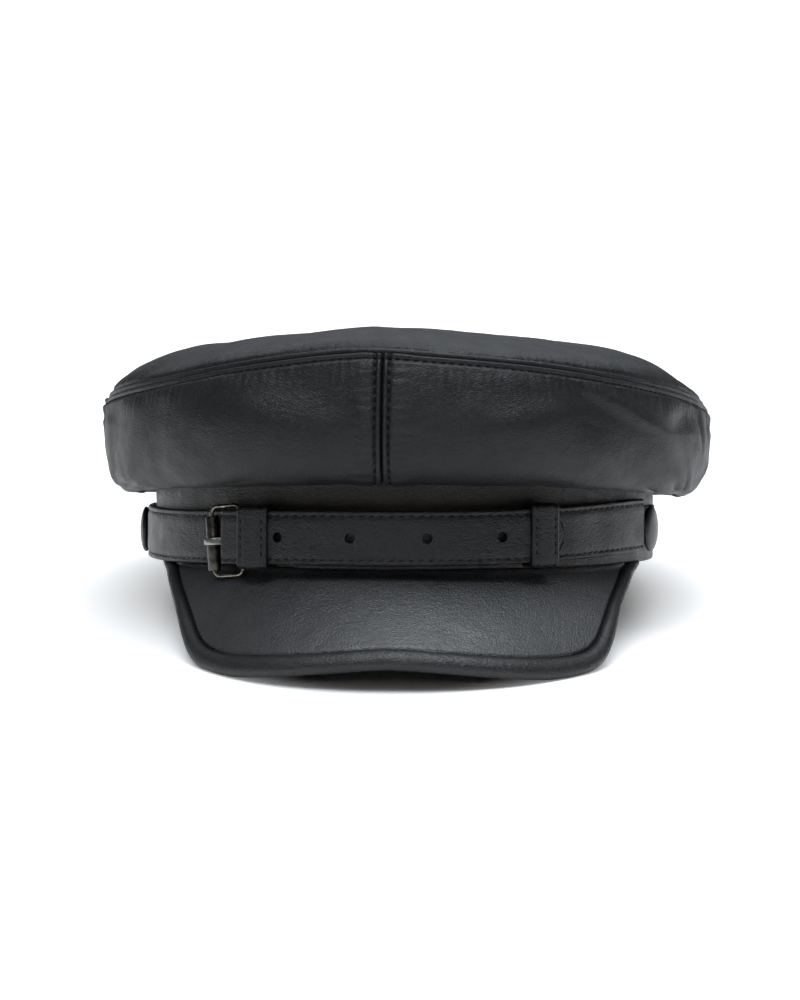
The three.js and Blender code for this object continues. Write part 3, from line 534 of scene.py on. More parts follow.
def band():
    columns = np.linspace(0, 360, 520, endpoint=False)
    heights = np.concatenate([[0, 0.15, 0.5, 1.0], np.linspace(1.8, BAND_HEIGHT - 0.5, 36), [BAND_HEIGHT]])
    turn, z = np.meshgrid(columns, heights, indexing="ij")
    above = 1 - np.clip(z, 0, BAND_EDGE) / BAND_EDGE
    round_edge = BAND_EDGE * (1 - np.sqrt(np.clip(1 - above**2, 0, 1)))
    p = place(turn, 0, z)
    s = turn * MM_PER_DEGREE
    h = 0.18 * noise(np.stack([s / 7, z / 11, 0 * z], -1), 61)
    h = h + 0.1 * noise(np.stack([s / 2.4, z / 9, 0 * z], -1), 62) * ease(z, 12, 28)
    h = (h + 0.12 * noise(p / 14, 63)) * ease(z, 0, 5) - round_edge
    wall = shell(place(turn, h, z), thinned(place(turn, -BAND_WALL, z), 6), True)
    make("band", [wall], band_leather, "band", pressed=True)


# Peak

def smoothed(values, times):
    for _ in range(times):
        values[1:-1] = (values[:-2] + 2 * values[1:-1] + values[2:]) / 4
    return values


PEAK_GRID = np.linspace(-1, 1, 501)
PEAK_ROUNDS = 130
PEAK_REACHES, PEAK_DROPS, PEAK_RIMS = (
    smoothed(along(PEAK, k, PEAK_GRID), PEAK_ROUNDS) for k in (1, 2, 3))
PEAK_GROOVE = 0.75  # depth of the groove inside the rim, and how far from it its threads lie
# How the root is raised to the band, and further at its ends; the rim, at the two stages of its ends
ROOT_RISE, ROOT_RISE_ENDS, ROOT_ENDS = 0.6, 0.7, (54, 60)
RIM_RISE, RIM_RISE_ENDS, RIM_NEAR_ENDS, RIM_ENDS = 0.4, 0.8, (52, 58), (60, 65)


def peak_section(turn):
    """Root, way forward and down, and length of the peak's section at each turn"""
    root = (-BAND_WALL / 2, -GAP)
    out = PEAK_REACH * np.interp(turn / PEAK_SPREAD, PEAK_GRID, PEAK_REACHES)
    z = -GAP - PEAK_DROP * np.interp(turn / PEAK_SPREAD, PEAK_GRID, PEAK_DROPS)
    length = np.hypot(out - root[0], z - root[1])
    return root, (out - root[0]) / length, (z - root[1]) / length, length


def peak_point(turn, distance, height):
    root, forward, down, length = peak_section(turn)
    share = distance / length
    bulge = PEAK_BULGE * length / math.hypot(PEAK_REACH, PEAK_DROP)
    lift = height + 4 * bulge * share * (1 - share)
    out = root[0] + forward * distance - down * lift
    return place(turn, out, root[1] + down * distance + forward * lift)


def rim_start(turn):
    turn = np.asarray(turn, float)
    growth = peak_section(turn + 0.5)[3] - peak_section(turn - 0.5)[3]
    s, c = np.sin(np.radians(turn)), np.cos(np.radians(turn))
    slant = growth * np.degrees(1 / np.hypot(BAND_A * c, BAND_B * s))
    width = RIM_WIDTH * np.interp(turn / PEAK_SPREAD, PEAK_GRID, PEAK_RIMS)
    return peak_section(turn)[3] - width * np.hypot(1, slant)


def peak():
    end = PEAK_SPREAD
    while rim_start(end) < 0.3:
        end -= 0.25
    turns = np.linspace(-end, end, 300)
    reach = rim_start(turns) + 0.25
    share = spaced(40, 0.5, 1.0, 4, (False, True))
    distance = reach[:, None] * share[None]
    turn = np.repeat(turns[:, None], len(share), 1)
    p = peak_point(turn, distance, 0)
    d = reach[:, None] - distance
    root = (ROOT_RISE + ROOT_RISE_ENDS * ease(np.abs(turn), *ROOT_ENDS)) * (1 - ease(distance, 0.8, 2.6))
    h = -PEAK_GROOVE * bell(d, 0.7) + 0.12 * noise(p / 16, 71) + 0.05 * noise(p / 5, 72) + root
    outer = p + upward(normals(p)) * h[..., None]
    inner = thinned(peak_point(turn, distance, -PEAK_THICKNESS), 4)
    make("peak", [shell(outer, inner)], peak_leather, "peak")
    path, up_way = iso(outer, upward(normals(outer)), d, PEAK_GROOVE)
    threads = []
    for part in (slice(8, 78), slice(-78, -8)):
        threads += stitches(path[part], up_way[part], 1.5, 0.2, 1.7, raised=0.05, slant=0.35)
    make("thread_peak", threads, thread, None)


def peak_rim():
    turns = np.linspace(-PEAK_SPREAD, PEAK_SPREAD, 380)
    length = peak_section(turns)[3]
    start = np.maximum(rim_start(turns), 0)
    full = np.clip((length - start) / RIM_WIDTH, 0.3, 1)
    around = circle(40)
    turn = np.repeat(turns[:, None], len(around), 1)
    distance = start[:, None] + (length - start)[:, None] * (1 - np.cos(around))[None] / 2
    height = full[:, None] * (RIM_THICKNESS / 2 * squared(np.sin(around), 0.8)[None] - PEAK_THICKNESS / 2)
    aside = np.abs(turns)
    rise = RIM_RISE * ease(aside, *RIM_NEAR_ENDS) + RIM_RISE_ENDS * ease(aside, *RIM_ENDS)
    height = height + rise[:, None]
    p = peak_point(turn, distance, height)
    s = turn * 2.2
    spots = np.stack([s / 5, *(np.broadcast_to(way(around), s.shape) for way in (np.cos, np.sin))], -1)
    wave = 0.05 * noise(spots, 75)
    centre = p.mean(1, keepdims=True)
    p = centre + (p - centre) * (1 + wave / 3)[..., None]
    make("peak_rim", [tube(p)], rim_leather, "peak_rim", pressed=True)


# Straps

BESIDE_KEEPER = GAP + KEEPER_WALL + GAP
UNDER_STRAP_SAG = 1.3
SETTLE_TURN, TONGUE_SETTLE_TURN = 12, 4
FACE_STEPS = 31
STRAP_CORNER = 0.55
STRAP_ROW = 1.7  # stitches in from a strap's edge
STRAP_STITCH_PITCH = 3.2
HOLE_OPEN = 0.56  # radius of a punched hole, as a share of HOLE_DIAMETER
FOLD_RADIUS = WIRE_RADIUS + CLEARANCE + FOLD_WALL
BAR_OUT = BESIDE_KEEPER + STRAP_THICKNESS / 2
ROLLER_OUT = GAP + STRAP_THICKNESS + GAP + ROLLER_RADIUS


def buckle_side_out(turn):
    settle = KEEPER_SLIDING + turn_for(KEEPER_SLIDING, KEEPER_WIDTH)
    return BESIDE_KEEPER - (BESIDE_KEEPER - GAP) * ease(turn, settle, settle + SETTLE_TURN)


def tongue_out(turn):
    start = ROLLER_TURN + turn_for(ROLLER_TURN, ROLLER_RADIUS / 3)
    over_fold = BAR_OUT + FOLD_RADIUS + GAP
    over_strap = BESIDE_KEEPER + STRAP_THICKNESS + GAP
    rise = (over_fold - GAP) * ease(turn, start, BAR_TURN - turn_for(BAR_TURN, 2 * FOLD_RADIUS))
    past = BAR_TURN + turn_for(BAR_TURN, FOLD_RADIUS)
    return GAP + rise - (over_fold - over_strap) * ease(turn, past, KEEPER_FIXED + TONGUE_SETTLE_TURN)


def strap_height(turn):
    return STRAP_MIDDLE + STRAP_RISE * along(COURSE, 1, turn)


def strap_loop(thickness):
    """Outline of a strap's section: across, from -1 to 1 of its half width, with depth and inset in mm"""
    rounding = [(thickness - STRAP_CORNER * (1 - math.cos(a)), STRAP_CORNER * (1 - math.sin(a)))
                for a in np.linspace(0, np.pi / 2, 5)[1:]]
    rows = [(u, thickness, STRAP_CORNER) for u in np.linspace(-1, 1, FACE_STEPS)]
    rows += [(1, *corner) for corner in rounding]
    rows += [(u, 0, 0) for u in (1, 0.5, 0, -0.5, -1)]
    rows += [(-1, *corner) for corner in rounding[::-1]]
    return np.array(rows, float).T


def ribbon(turns, out, thickness, width, seed, relief=True, sag=0.0):
    """A strap's rings along its turns, and how far across it each point lies"""
    across, depth, inset = strap_loop(thickness)
    turn = turns[:, None]
    half = width[:, None] / 2
    u = across[None] * (half - inset[None])
    z = strap_height(turn) + u - np.broadcast_to(sag, turns.shape)[:, None]
    face = (depth > thickness - 1e-6)[None]
    h = 0.0
    if relief:
        edge = half - np.abs(u)
        s = np.broadcast_to((turn - turns[0]) * MM_PER_DEGREE, u.shape)
        notch = 0.5 - 0.5 * np.cos(2 * np.pi * s / STRAP_STITCH_PITCH)
        h = 0.3 * ease(edge, 1.2, 4.0) - 0.34 * bell(edge - STRAP_ROW, 0.4) * (0.5 + 0.5 * notch)
        h = h + 0.16 * bell(edge - 0.8, 0.4) + 0.06 * noise(np.stack([s / 9, u / 6, 0 * u], -1), seed)
        h = h + 0.03 * noise(np.stack([s / 3, u / 3, 0 * u], -1), seed + 1)
    p = place(np.broadcast_to(turn, u.shape), out[:, None] + depth[None] + np.where(face, h, 0), z)
    return p, u


def edge_rows(face, across, aside, *stitch):
    """Rows of stitches along both edges of an outer face, aside from its middle"""
    n = normals(face)
    n = n * np.sign((n * face).sum(-1).mean())
    threads = []
    for side in (-1, 1):
        threads += stitches(*iso(face, n, across, side * aside), *stitch)
    return threads


def strap_threads(p, u):
    face = slice(0, FACE_STEPS)
    aside = STRAP_WIDTH / 2 - STRAP_ROW
    return edge_rows(p[:, face], u[:, face], aside, 1.9, 0.19, STRAP_STITCH_PITCH, 0.04, 0.3)


def cutter(name, points_faces):
    p, faces = points_faces
    return linked(name, mesh_of(name, to_row(p), faces, False))


def cut(obj, cutters):
    for c in cutters:
        modifier = obj.modifiers.new("cut", "BOOLEAN")
        modifier.operation = "DIFFERENCE"
        modifier.solver = "EXACT"
        modifier.object = c
    bpy.context.view_layer.update()
    evaluated = obj.evaluated_get(bpy.context.evaluated_depsgraph_get())
    mesh = bpy.data.meshes.new_from_object(evaluated)
    obj.modifiers.clear()
    obj.data = mesh
    for c in cutters:
        bpy.data.objects.remove(c)


def seat(turn, out, z):
    """Origin and axes of a frame on the band: along it, inwards, up"""
    origin = place(turn, out, z)
    outwards = place(turn, 1, 0) - place(turn, 0, 0)
    x = np.array([-outwards[1], outwards[0], 0])
    return origin, np.stack([x, -outwards, np.array([0, 0, 1.0])])


def from_seat(frame_of, points):
    origin, axes = frame_of
    return origin + np.asarray(points, float) @ axes


def strap_tongue():
    turns = np.arange(TONGUE_START, TONGUE_TIP, 0.36)
    turns = np.concatenate([turns[turns < TONGUE_TIP - 0.2], [TONGUE_TIP]])
    u = np.clip((turns - (TONGUE_TIP - TIP_TAPER)) / TIP_TAPER, 0, 1)
    width = TIP_WIDTH + (STRAP_WIDTH - TIP_WIDTH) * np.sqrt(1 - u**2.2)
    p, across = ribbon(turns, tongue_out(turns), STRAP_THICKNESS, width, 81)
    obj = make("strap_tongue", [tube(p)], strap_leather, "strap_tongue", sharp=55)
    around = circle(28)
    x, z = (HOLE_DIAMETER * HOLE_OPEN * way(around) for way in (np.cos, np.sin))
    rings = np.stack([np.stack([x, np.full_like(x, y), z], -1) for y in (-6, 2)])
    cutters = []
    for turn in FIRST_HOLE + HOLE_PITCH * np.arange(HOLE_COUNT):
        where = seat(turn, tongue_out(turn), strap_height(turn))
        cutters.append(cutter("hole", tube(from_seat(where, rings))))
    cut(obj, cutters)
    keep = turns < TONGUE_TIP - TIP_TAPER - 0.3
    make("thread_tongue", strap_threads(p[keep], across[keep]), thread, None)


def strap_fold():
    """The strap's leather round the buckle's bar, on both sides of the prong"""
    fold = []
    around = circle(32)
    middle = float(strap_height(BAR_TURN)) - BUCKLE_MIDDLE
    beside = PRONG_WIDTH / 2 + GAP
    for low, high in ((-STRAP_WIDTH / 2, -beside), (beside, STRAP_WIDTH / 2)):
        bore, full, round_ = WIRE_RADIUS + 0.1, FOLD_RADIUS, 0.3
        profile = ((low, bore), (low, full - round_), (low + round_, full),
                   (high - round_, full), (high, full - round_), (high, bore))
        rings = [ring(BAR_AXIS, r, z + middle, around) for z, r in profile]
        fold.append(tube(in_cap(np.stack(rings)), True))
    return fold


def strap_buckle_side():
    turns = np.concatenate([np.arange(BAR_TURN + 1.0, BUCKLE_SIDE_END, 0.5), [BUCKLE_SIDE_END]])
    loose = UNDER_STRAP_SAG * ease(turns, KEEPER_FIXED + 4, KEEPER_FIXED + 10)
    loose = loose * (1 - ease(turns, KEEPER_SLIDING - 10, KEEPER_SLIDING - 4))
    width = np.full_like(turns, STRAP_WIDTH)
    p, across = ribbon(turns, buckle_side_out(turns), STRAP_THICKNESS, width, 85, sag=loose)
    tab_turns = np.linspace(BUCKLE_SIDE_END + 0.05, TAB_END, 30)
    tab_width = np.full_like(tab_turns, TAB_WIDTH)
    tab, _ = ribbon(tab_turns, buckle_side_out(tab_turns), TAB_THICKNESS, tab_width, 87, False)
    parts = [tube(p), tube(tab), *strap_fold()]
    make("strap_buckle_side", parts, strap_leather, "strap_buckle_side", sharp=55)
    keep = turns > KEEPER_SLIDING
    make("thread_buckle_side", strap_threads(p[keep], across[keep]), thread, None)


KEEPER_ROUND = KEEPER_CORNER + KEEPER_WALL / 2
KEEPER_ROW = 1.5  # stitches in from a keeper's edge


def keeper_corner(turn, which):
    """Middle of the rounding at one of a keeper's four corners: how far out and how high"""
    around = GAP + KEEPER_WALL / 2
    face = float(tongue_out(turn)) + STRAP_THICKNESS + around
    middle, half = float(strap_height(turn)), STRAP_WIDTH / 2 + around - KEEPER_ROUND
    out = face - KEEPER_ROUND if which in (0, 3) else around + KEEPER_ROUND
    return out, middle + (half if which < 2 else -half)


def keeper_relief(edge):
    """Height of a keeper's face, some way in from its edge"""
    inside = 0.16 * ease(edge, 0.9, 2.2) + 0.2 * bell(edge - 0.7, 0.35)
    return inside - 0.2 * bell(edge - KEEPER_ROW, 0.4) - 0.3 * bell(edge, 0.35)


def keeper(name, middle, bow):
    half = turn_for(middle, KEEPER_WIDTH / 2)
    near_edge = [0.85, 0.92, 0.97, 1]
    widths = np.concatenate([[-w for w in near_edge[::-1]], np.linspace(-0.75, 0.75, 13), near_edge])
    spots = []
    for side in range(4):
        spots += [(side, (side + step / 7) * math.pi / 2) for step in range(8)]
        spots += [(side + 0.1 * k, (side + 1) * math.pi / 2) for k in range(1, 10)]
    outer, inner = [], []
    for side, around in spots:
        base, share = int(side), side % 1
        front = max(0.0, math.cos(around))
        for w in widths:
            turn = middle + half * w - turn_for(middle, bow * front) * (1 - w) / 2
            o, z = keeper_corner(turn, base)
            o_next, z_next = keeper_corner(turn, (base + 1) % 4)
            o, z = o + (o_next - o) * share, z + (z_next - z) * share
            thick = KEEPER_WALL / 2
            height = keeper_relief((1 - abs(w)) * KEEPER_WIDTH / 2)
            for grid, r in ((outer, KEEPER_ROUND + thick + height), (inner, KEEPER_ROUND - thick)):
                grid.append(place(turn, o + r * math.cos(around), z + r * math.sin(around)))
    outer, inner = (np.array(grid).reshape(len(spots), len(widths), 3) for grid in (outer, inner))
    make(name, [shell(outer, inner, True)], strap_leather, name)
    face = np.concatenate([outer[len(spots) * 3 // 4 + 8:], outer[:1]])
    across = np.broadcast_to(widths * KEEPER_WIDTH / 2, face.shape[:2])
    threads = edge_rows(face, across, KEEPER_WIDTH / 2 - KEEPER_ROW, 1.5, 0.17, 2.6, 0.03, 0.15)
    make("thread_" + name, threads, thread, None)


# Buckle, in its own frame: x along the band, y inwards, z up, leaning to the left

def turned(angle, axis):
    c, s = math.cos(angle), math.sin(angle)
    if axis == "z":
        return np.array([[c, -s, 0], [s, c, 0], [0, 0, 1]])
    return np.array([[c, 0, s], [0, 1, 0], [-s, 0, c]])


BUCKLE_TURN = (ROLLER_TURN + BAR_TURN) / 2
BUCKLE_ORIGIN = place(BUCKLE_TURN, 0, BUCKLE_MIDDLE)
BUCKLE_OUT = place(BUCKLE_TURN, 1, 0) - place(BUCKLE_TURN, 0, 0)
BUCKLE_FACING = turned(math.atan2(BUCKLE_OUT[0], -BUCKLE_OUT[1]), "z")
BUCKLE_MATRIX = BUCKLE_FACING @ turned(-math.radians(BUCKLE_LEAN), "y")


def in_cap(p):
    return BUCKLE_ORIGIN + np.asarray(p, float) @ BUCKLE_MATRIX.T


def in_buckle(turn, out):
    return ((place(turn, out, BUCKLE_MIDDLE) - BUCKLE_ORIGIN) @ BUCKLE_MATRIX)[:2]


ROLLER_AXIS = in_buckle(ROLLER_TURN, ROLLER_OUT)
BAR_AXIS = in_buckle(BAR_TURN, BAR_OUT)


ROLLER_SLIDE = 0.7  # how far the roller has slid down its wire
PRONG_RISE, PRONG_MEET = 2.6, 0.9  # where the blade starts to rise and meets the roller, in roller radii


def ring(axis, r, z, around):
    """Circle round an upright axis of the buckle"""
    return np.stack([axis[0] + r * np.cos(around), axis[1] + r * np.sin(around), np.full_like(around, z)], -1)


def sweep(path, radius):
    """Rings round a closed path in the plane of the buckle, without twist"""
    ahead = unit(np.roll(path, -1, 0) - np.roll(path, 1, 0))
    flat = np.array([ROLLER_AXIS[1] - BAR_AXIS[1], -(ROLLER_AXIS[0] - BAR_AXIS[0]), 0.0])
    flat /= np.linalg.norm(flat)
    side = unit(np.cross(flat, ahead))
    a = circle(18)[None, :, None]
    return path[:, None] + radius * (flat[None, None] * np.cos(a) + side[:, None] * np.sin(a))


def buckle_frame():
    top, inset = FRAME_HEIGHT / 2 - FRAME_CORNER, FRAME_CORNER
    width = float(np.linalg.norm(BAR_AXIS - ROLLER_AXIS))
    far, outline = width - inset, []
    for x, z, first in ((inset, top, 180), (far, top, 90), (far, -top, 0), (inset, -top, -90)):
        a = np.radians(np.linspace(first, first - 90, 9))
        outline.append(np.stack([x + inset * np.cos(a), z + inset * np.sin(a)], -1))
    flat = np.concatenate(outline)
    level = ROLLER_AXIS + (BAR_AXIS - ROLLER_AXIS) * flat[:, :1] / width
    path = np.concatenate([level, flat[:, 1:]], 1)
    wire = tube(in_cap(sweep(path, WIRE_RADIUS)), True)
    make("buckle_frame", [wire], bronze, "buckle_frame")


def buckle_roller():
    bore, half = WIRE_RADIUS + CLEARANCE, ROLLER_LENGTH / 2
    rounding = ((ROLLER_RADIUS - 0.35, 0), (ROLLER_RADIUS - 0.1, 0.1), (ROLLER_RADIUS, 0.35))
    profile = [(bore, -half), *((r, -half + z) for r, z in rounding)]
    profile += [*((r, half - z) for r, z in rounding[::-1]), (bore, half)]
    around = circle(56)
    rings = np.stack([ring(ROLLER_AXIS, r, z - ROLLER_SLIDE, around) for r, z in profile])
    roller = tube(in_cap(rings), True)
    make("buckle_roller", [roller], dark_bronze, "buckle_roller", sharp=50)


def buckle_prong():
    """The prong: an eye round the bar, a blade over the strap, and a tip that curls round the roller"""
    eye = WIRE_RADIUS + CLEARANCE + PRONG_THICKNESS / 2
    x, y = ROLLER_AXIS
    face = y - ROLLER_RADIUS - GAP - PRONG_THICKNESS / 2
    line = [(BAR_AXIS[0] + eye * math.sin(t), BAR_AXIS[1] + eye * math.cos(t))
            for t in np.radians(np.arange(-10, 271, 14))]
    line += [(x + PRONG_RISE * ROLLER_RADIUS, BAR_AXIS[1] - eye - PRONG_THICKNESS / 2),
             (x + PRONG_MEET * ROLLER_RADIUS, face + PRONG_THICKNESS / 3), (x, face), (x - 0.8, face + 0.1),
             (x - PRONG_OVERHANG + 0.3, face + 1.6)]
    line = np.array(line)
    s = np.concatenate([[0], np.cumsum(np.linalg.norm(np.diff(line, axis=0), axis=1))])
    at = np.linspace(0, s[-1], 90)
    line = smoothed(np.stack([np.interp(at, s, line[:, k]) for k in (0, 1)], -1), 3)
    way = unit(np.gradient(line, axis=0))
    side = np.stack([-way[:, 1], way[:, 0]], -1)
    a = circle(20)
    narrow = 1 - 0.22 * ease(at, s[-1] * 0.5, s[-1]) - 0.35 * ease(at, s[-1] - 1.0, s[-1])
    thick = squared(np.cos(a), 0.55)[None] * PRONG_THICKNESS / 2 * np.minimum(1, narrow * 1.15)[:, None]
    tall = squared(np.sin(a), 0.55)[None] * PRONG_WIDTH / 2 * narrow[:, None]
    rings = np.stack([*(line[:, None, k] + side[:, None, k] * thick for k in (0, 1)), tall], -1)
    make("buckle_prong", [tube(in_cap(rings))], steel, "buckle_prong")


BUTTON_EDGE = 0.3  # share of the dome's height that is its edge


def button(name, where):
    around = circle(72)
    rings = [(BUTTON_RADIUS - 0.9, 0.0), (BUTTON_RADIUS - 0.35, 0.12), (BUTTON_RADIUS - 0.05, 0.45)]
    for t in np.linspace(0, np.pi / 2, 18):
        height = BUTTON_DOME * (BUTTON_EDGE + (1 - BUTTON_EDGE) * math.sin(t))
        rings.append((BUTTON_RADIUS * math.cos(t) + 0.001, height))
    grid = []
    for r, h in rings:
        r = r * (1 + 0.006 * np.sin(around * 13 + 1) * (r / BUTTON_RADIUS) ** 6)
        grid.append(np.stack([r * np.cos(around), np.full_like(around, -h), r * np.sin(around)], -1))
    make(name, [tube(from_seat(where, np.array(grid)))], button_leather, name)


# Materials

def nodes_of(name):
    material = bpy.data.materials.new(name)
    material.use_nodes = True
    tree = material.node_tree
    shader = tree.nodes["Principled BSDF"]
    coords = tree.nodes.new("ShaderNodeTexCoord")
    return material, tree, shader, coords.outputs["Object"]


def add(tree, kind, inputs=None, **settings):
    node = tree.nodes.new("ShaderNode" + kind)
    for key, value in settings.items():
        setattr(node, key, value)
    for key, value in (inputs or {}).items():
        if isinstance(value, bpy.types.NodeSocket):
            tree.links.new(value, node.inputs[key])
        else:
            node.inputs[key].default_value = value
    return node


def ramp(tree, value, start, end, low=0.0, high=1.0, smooth=False):
    """A value's way from start to end, made into one from low to high"""
    inputs = {"Value": value, "From Min": start, "From Max": end, "To Min": low, "To Max": high}
    kind = "SMOOTHSTEP" if smooth else "LINEAR"
    return add(tree, "MapRange", inputs, interpolation_type=kind).outputs[0]


def reckon(tree, operation, *values):
    return add(tree, "Math", dict(enumerate(values)), operation=operation).outputs[0]


def clouds(tree, vector, scale, detail, roughness=0.5):
    inputs = {"Vector": vector, "Scale": scale, "Detail": detail, "Roughness": roughness}
    return add(tree, "TexNoise", inputs).outputs


PEBBLE_SCALE = (0.75, 0.95, 1.35)  # wider than high
PEBBLE_WARP = (1.6, 1.6, 1.6)
GRAIN_DEPTH = 0.00022  # metres


def leather(name, colour, rough, grain, cell=1.0, shine=0.4):
    """Fine-grained leather: uneven pebbles with darker clefts between them, broader unevenness, and a satin
    finish that varies a little. cell is the size of a pebble in millimetres"""
    material, tree, shader, coords = nodes_of(name)
    scaled = add(tree, "Mapping", {"Vector": coords, "Scale": (1000 / cell,) * 3}).outputs[0]
    warp = clouds(tree, scaled, 0.11, 1.0)["Color"]
    warp = add(tree, "VectorMath", {0: warp, 1: PEBBLE_WARP}, operation="MULTIPLY").outputs[0]
    warped = add(tree, "VectorMath", {0: scaled, 1: warp}, operation="ADD").outputs[0]
    flat = add(tree, "Mapping", {"Vector": warped, "Scale": PEBBLE_SCALE}).outputs[0]
    cells = {"Vector": flat, "Scale": 1.0, "Randomness": 1.0}
    cleft = add(tree, "TexVoronoi", cells, feature="DISTANCE_TO_EDGE").outputs["Distance"]
    broad = clouds(tree, scaled, 0.14, 2.0)["Fac"]
    height = reckon(tree, "MULTIPLY", ramp(tree, cleft, 0.0, 0.3, smooth=True), 0.5)
    height = reckon(tree, "MULTIPLY_ADD", clouds(tree, flat, 0.55, 2.0)["Fac"], 1.3, height)
    height = reckon(tree, "MULTIPLY_ADD", broad, 0.9, height)
    bump = add(tree, "Bump", {"Strength": grain, "Distance": GRAIN_DEPTH, "Height": height})
    tree.links.new(bump.outputs[0], shader.inputs["Normal"])
    tint = add(tree, "Mix", {"Factor": ramp(tree, cleft, 0.0, 0.12)}, data_type="RGBA")
    tint.inputs["A"].default_value = (*[c * 0.5 for c in colour], 1)
    tint.inputs["B"].default_value = (*colour, 1)
    tree.links.new(tint.outputs["Result"], shader.inputs["Base Color"])
    tree.links.new(ramp(tree, broad, 0.3, 0.7, rough - 0.04, rough + 0.06), shader.inputs["Roughness"])
    shader.inputs["Specular IOR Level"].default_value = shine
    return material


def metal(name, colour, dark, rough):
    """Darkened plating that is rubbed lighter here and there"""
    material, tree, shader, coords = nodes_of(name)
    scaled = add(tree, "Mapping", {"Vector": coords, "Scale": (1000, 1000, 1000)}).outputs[0]
    rubbed = ramp(tree, clouds(tree, scaled, 0.5, 4.0, 0.6)["Fac"], 0.35, 0.65)
    scratches = clouds(tree, scaled, 3.0, 2.0)["Fac"]
    mix = add(tree, "MixRGB", {"Fac": rubbed, "Color1": (*dark, 1), "Color2": (*colour, 1)})
    tree.links.new(mix.outputs[0], shader.inputs["Base Color"])
    tree.links.new(ramp(tree, scratches, 0.0, 1.0, rough - 0.08, rough + 0.12), shader.inputs["Roughness"])
    bump = add(tree, "Bump", {"Strength": 0.15, "Distance": 0.0001, "Height": scratches})
    tree.links.new(bump.outputs[0], shader.inputs["Normal"])
    shader.inputs["Metallic"].default_value = 1.0
    return material


crown_leather = leather("crown_leather", (0.007, 0.0074, 0.0088), 0.49, 0.58, shine=0.33)
band_leather = leather("band_leather", (0.027, 0.0242, 0.0215), 0.44, 0.8, shine=0.27)
peak_leather = leather("peak_leather", (0.0105, 0.011, 0.013), 0.48, 0.6, 0.85, shine=0.9)
strap_leather = leather("strap_leather", (0.0072, 0.0076, 0.0089), 0.4, 0.8, 0.9, shine=0.36)
rim_leather = leather("rim_leather", (0.0085, 0.0088, 0.0102), 0.46, 0.6, 0.85, shine=0.5)
button_leather = leather("button_leather", (0.008, 0.008, 0.0092), 0.35, 0.35)
thread = leather("thread", (0.0025, 0.0025, 0.003), 0.7, 0.2, 0.4, shine=0.15)
bronze = metal("antique_bronze", (0.3, 0.27, 0.22), (0.08, 0.072, 0.06), 0.24)
dark_bronze = metal("dark_bronze", (0.11, 0.104, 0.09), (0.035, 0.033, 0.028), 0.34)
steel = metal("antique_steel", (0.34, 0.35, 0.34), (0.12, 0.12, 0.115), 0.34)

top_panel()
side_panel("side_panel_front_left", -SIDE_SEAM, FRONT_SEAM, 11)
side_panel("side_panel_front_right", FRONT_SEAM, SIDE_SEAM, 21)
side_panel("side_panel_back_left", -180, -SIDE_SEAM, 31)
side_panel("side_panel_back_right", SIDE_SEAM, 180, 51)
band()
peak()
peak_rim()
strap_tongue()
strap_buckle_side()
keeper("keeper_fixed", KEEPER_FIXED, KEEPER_BOW)
keeper("keeper_sliding", KEEPER_SLIDING, 0)
buckle_frame()
buckle_roller()
buckle_prong()
left_out = float(tongue_out(BUTTON_LEFT)) + STRAP_THICKNESS + GAP
button("button_left", seat(BUTTON_LEFT, left_out, float(strap_height(BUTTON_LEFT))))
right_out = float(buckle_side_out(BUTTON_RIGHT)) + TAB_THICKNESS + GAP
button("button_right", seat(BUTTON_RIGHT, right_out, float(strap_height(BUTTON_RIGHT)) - BUTTON_RIGHT_DROP))

# Floor, light and camera, in metres

FLOOR_SIZE, FLOOR_DROP = 24, 0.0002
CONTACT_SHADOW = (0.079, 0.15)  # half the width and length of the painted shadow under the cap, where the floor's emission is taken away
# Painted shade: outside a wedge that starts in front and widens to the back, the floor gives less light
WEDGE_START, WEDGE_NARROWEST = 1.3, 0.3
COOL, WARM = (0.9, 0.95, 1.0), (1.0, 0.93, 0.85)
# name, place, aim, width and height, watts, colour
LAMPS = (
    ("overhead", (0.1, -0.22, 1.3), (0.02, -0.1, 0), (1.6, 0.6), 22, COOL),
    ("behind", (0, 1.1, 0.95), (0, 0, 0.06), (1.6, 0.7), 4.5, COOL),
    ("front", (0.1, -1.5, 0.62), (0.02, 0, 0.05), (0.9, 0.25), 1.6, WARM),
)
CAMERA_ELEVATION, CAMERA_YAW = 10.5, 2.0
CAMERA_DISTANCE = 1300.0  # from the middle of the head opening, in millimetres
PIXEL = 0.345  # millimetres at that distance
PICTURE_HEIGHT, SENSOR = 1000, 36  # pixels and millimetres
AIM_ABOVE = 22.0  # above the front of the band's bottom edge, in millimetres
AIM_ASIDE = 4.5  # pixels to the left


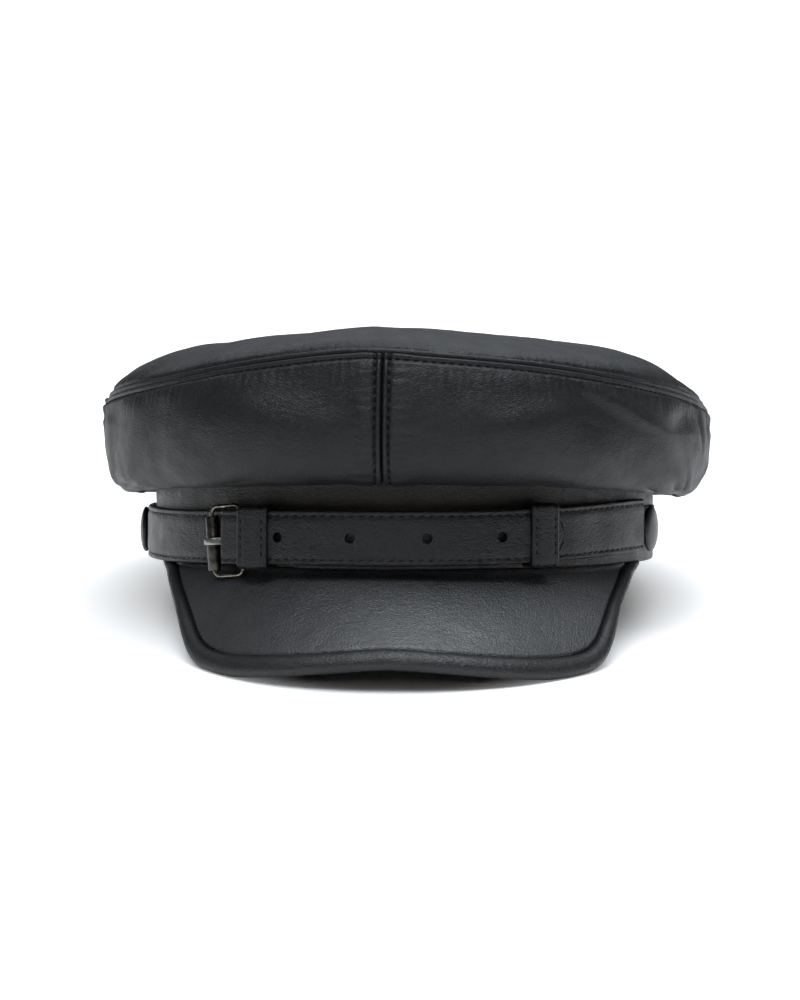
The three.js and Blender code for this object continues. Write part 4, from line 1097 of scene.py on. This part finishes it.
def stage_floor():
    """A pale floor that glows, which is painted light: dark under the cap, a painted shadow where its
    emission is taken away, brighter away from it, and dimmer far in front and to the sides, which is painted
    shade
    """
    bpy.ops.mesh.primitive_plane_add(size=FLOOR_SIZE, location=(0, 0, -FLOOR_DROP))
    floor = bpy.context.object
    floor.name = "floor"
    material, tree, shader, coords = nodes_of("floor")
    looks = {"Base Color": (0.9, 0.9, 0.9, 1), "Roughness": 0.9, "Specular IOR Level": 0.1}
    for key, value in {**looks, "Emission Color": (1, 1, 1, 1)}.items():
        shader.inputs[key].default_value = value
    away = add(tree, "VectorMath", {0: coords}, operation="LENGTH").outputs["Value"]
    shares = {"Vector": coords, "Scale": (1 / CONTACT_SHADOW[0], 1 / CONTACT_SHADOW[1], 0)}
    shares = add(tree, "Mapping", shares).outputs[0]
    beside = add(tree, "VectorMath", {0: shares}, operation="LENGTH").outputs["Value"]
    # clear is 0 inside the painted contact shadow and 1 outside it
    clear = ramp(tree, beside, 0.82, 1.12, smooth=True)
    # The floor's emission, painted light: it grows away from the cap and is taken away in the painted shadow
    painted_floor_light = reckon(tree, "MULTIPLY", ramp(tree, away, 0.0, 1.6, 0.3, 1.05), clear)
    x, y, _ = add(tree, "SeparateXYZ", {0: coords}).outputs
    depth = reckon(tree, "MAXIMUM", reckon(tree, "ADD", y, WEDGE_START), WEDGE_NARROWEST)
    aside = reckon(tree, "DIVIDE", reckon(tree, "ABSOLUTE", x), depth)
    # Painted shade: less emission outside the wedge and far in front
    for value, near, far in ((aside, 0.12, 0.6), (y, -0.42, -1.0)):
        painted_floor_light = reckon(tree, "MULTIPLY", painted_floor_light, ramp(tree, value, near, far, 1.0, 0.3, True))
    tree.links.new(painted_floor_light, shader.inputs["Emission Strength"])
    floor.data.materials.append(material)


def lamp(name, at, to, size, watts, colour):
    data = bpy.data.lights.new(name, "AREA")
    data.shape = "RECTANGLE"
    data.size, data.size_y = size
    data.energy = watts
    data.color = colour
    obj = linked(name, data)
    obj.location = at
    obj.rotation_euler = (Vector(to) - Vector(at)).to_track_quat("-Z", "Y").to_euler()


def light():
    """A studio that is dark in front, paler behind, and brightest overhead"""
    world = bpy.data.worlds.new("studio")
    bpy.context.scene.world = world
    world.use_nodes = True
    tree = world.node_tree
    coords = tree.nodes.new("ShaderNodeTexCoord")
    _, y, z = add(tree, "SeparateXYZ", {0: coords.outputs["Generated"]}).outputs
    back = ramp(tree, y, -0.2, 0.6, 0.015, 0.1, True)
    above = ramp(tree, z, 0.25, 0.9, 0.0, 0.35, True)
    background = tree.nodes["Background"]
    tree.links.new(reckon(tree, "ADD", back, above), background.inputs["Strength"])
    background.inputs["Color"].default_value = (0.93, 0.97, 1.0, 1)
    for settings in LAMPS:
        lamp(*settings)


def camera():
    """The photograph's view: a long lens, a little from above and from the right"""
    elevation, yaw = math.radians(CAMERA_ELEVATION), math.radians(CAMERA_YAW)
    level = math.cos(elevation)
    forward = np.array([-math.sin(yaw) * level, math.cos(yaw) * level, -math.sin(elevation)])
    right = np.array([math.cos(yaw), math.sin(yaw), 0.0])
    up = np.cross(right, forward)
    centre = to_row(np.zeros(3))
    front = to_row(np.array([0.0, -BAND_B, 0.0]))
    raised = (front - centre) @ up + AIM_ABOVE
    at = centre + up * raised - right * AIM_ASIDE * PIXEL - forward * CAMERA_DISTANCE
    data = bpy.data.cameras.new("camera")
    data.lens = SENSOR * CAMERA_DISTANCE / PIXEL / PICTURE_HEIGHT
    data.sensor_width = SENSOR
    data.clip_start, data.clip_end = 0.05, 20
    obj = linked("camera", data)
    rows = np.stack([right, up, -forward, at / 1000], -1).tolist()
    obj.matrix_world = Matrix([*rows, (0, 0, 0, 1)])
    bpy.context.scene.camera = obj


stage_floor()
light()
camera()
bpy.context.scene.view_settings.view_transform = "Standard"
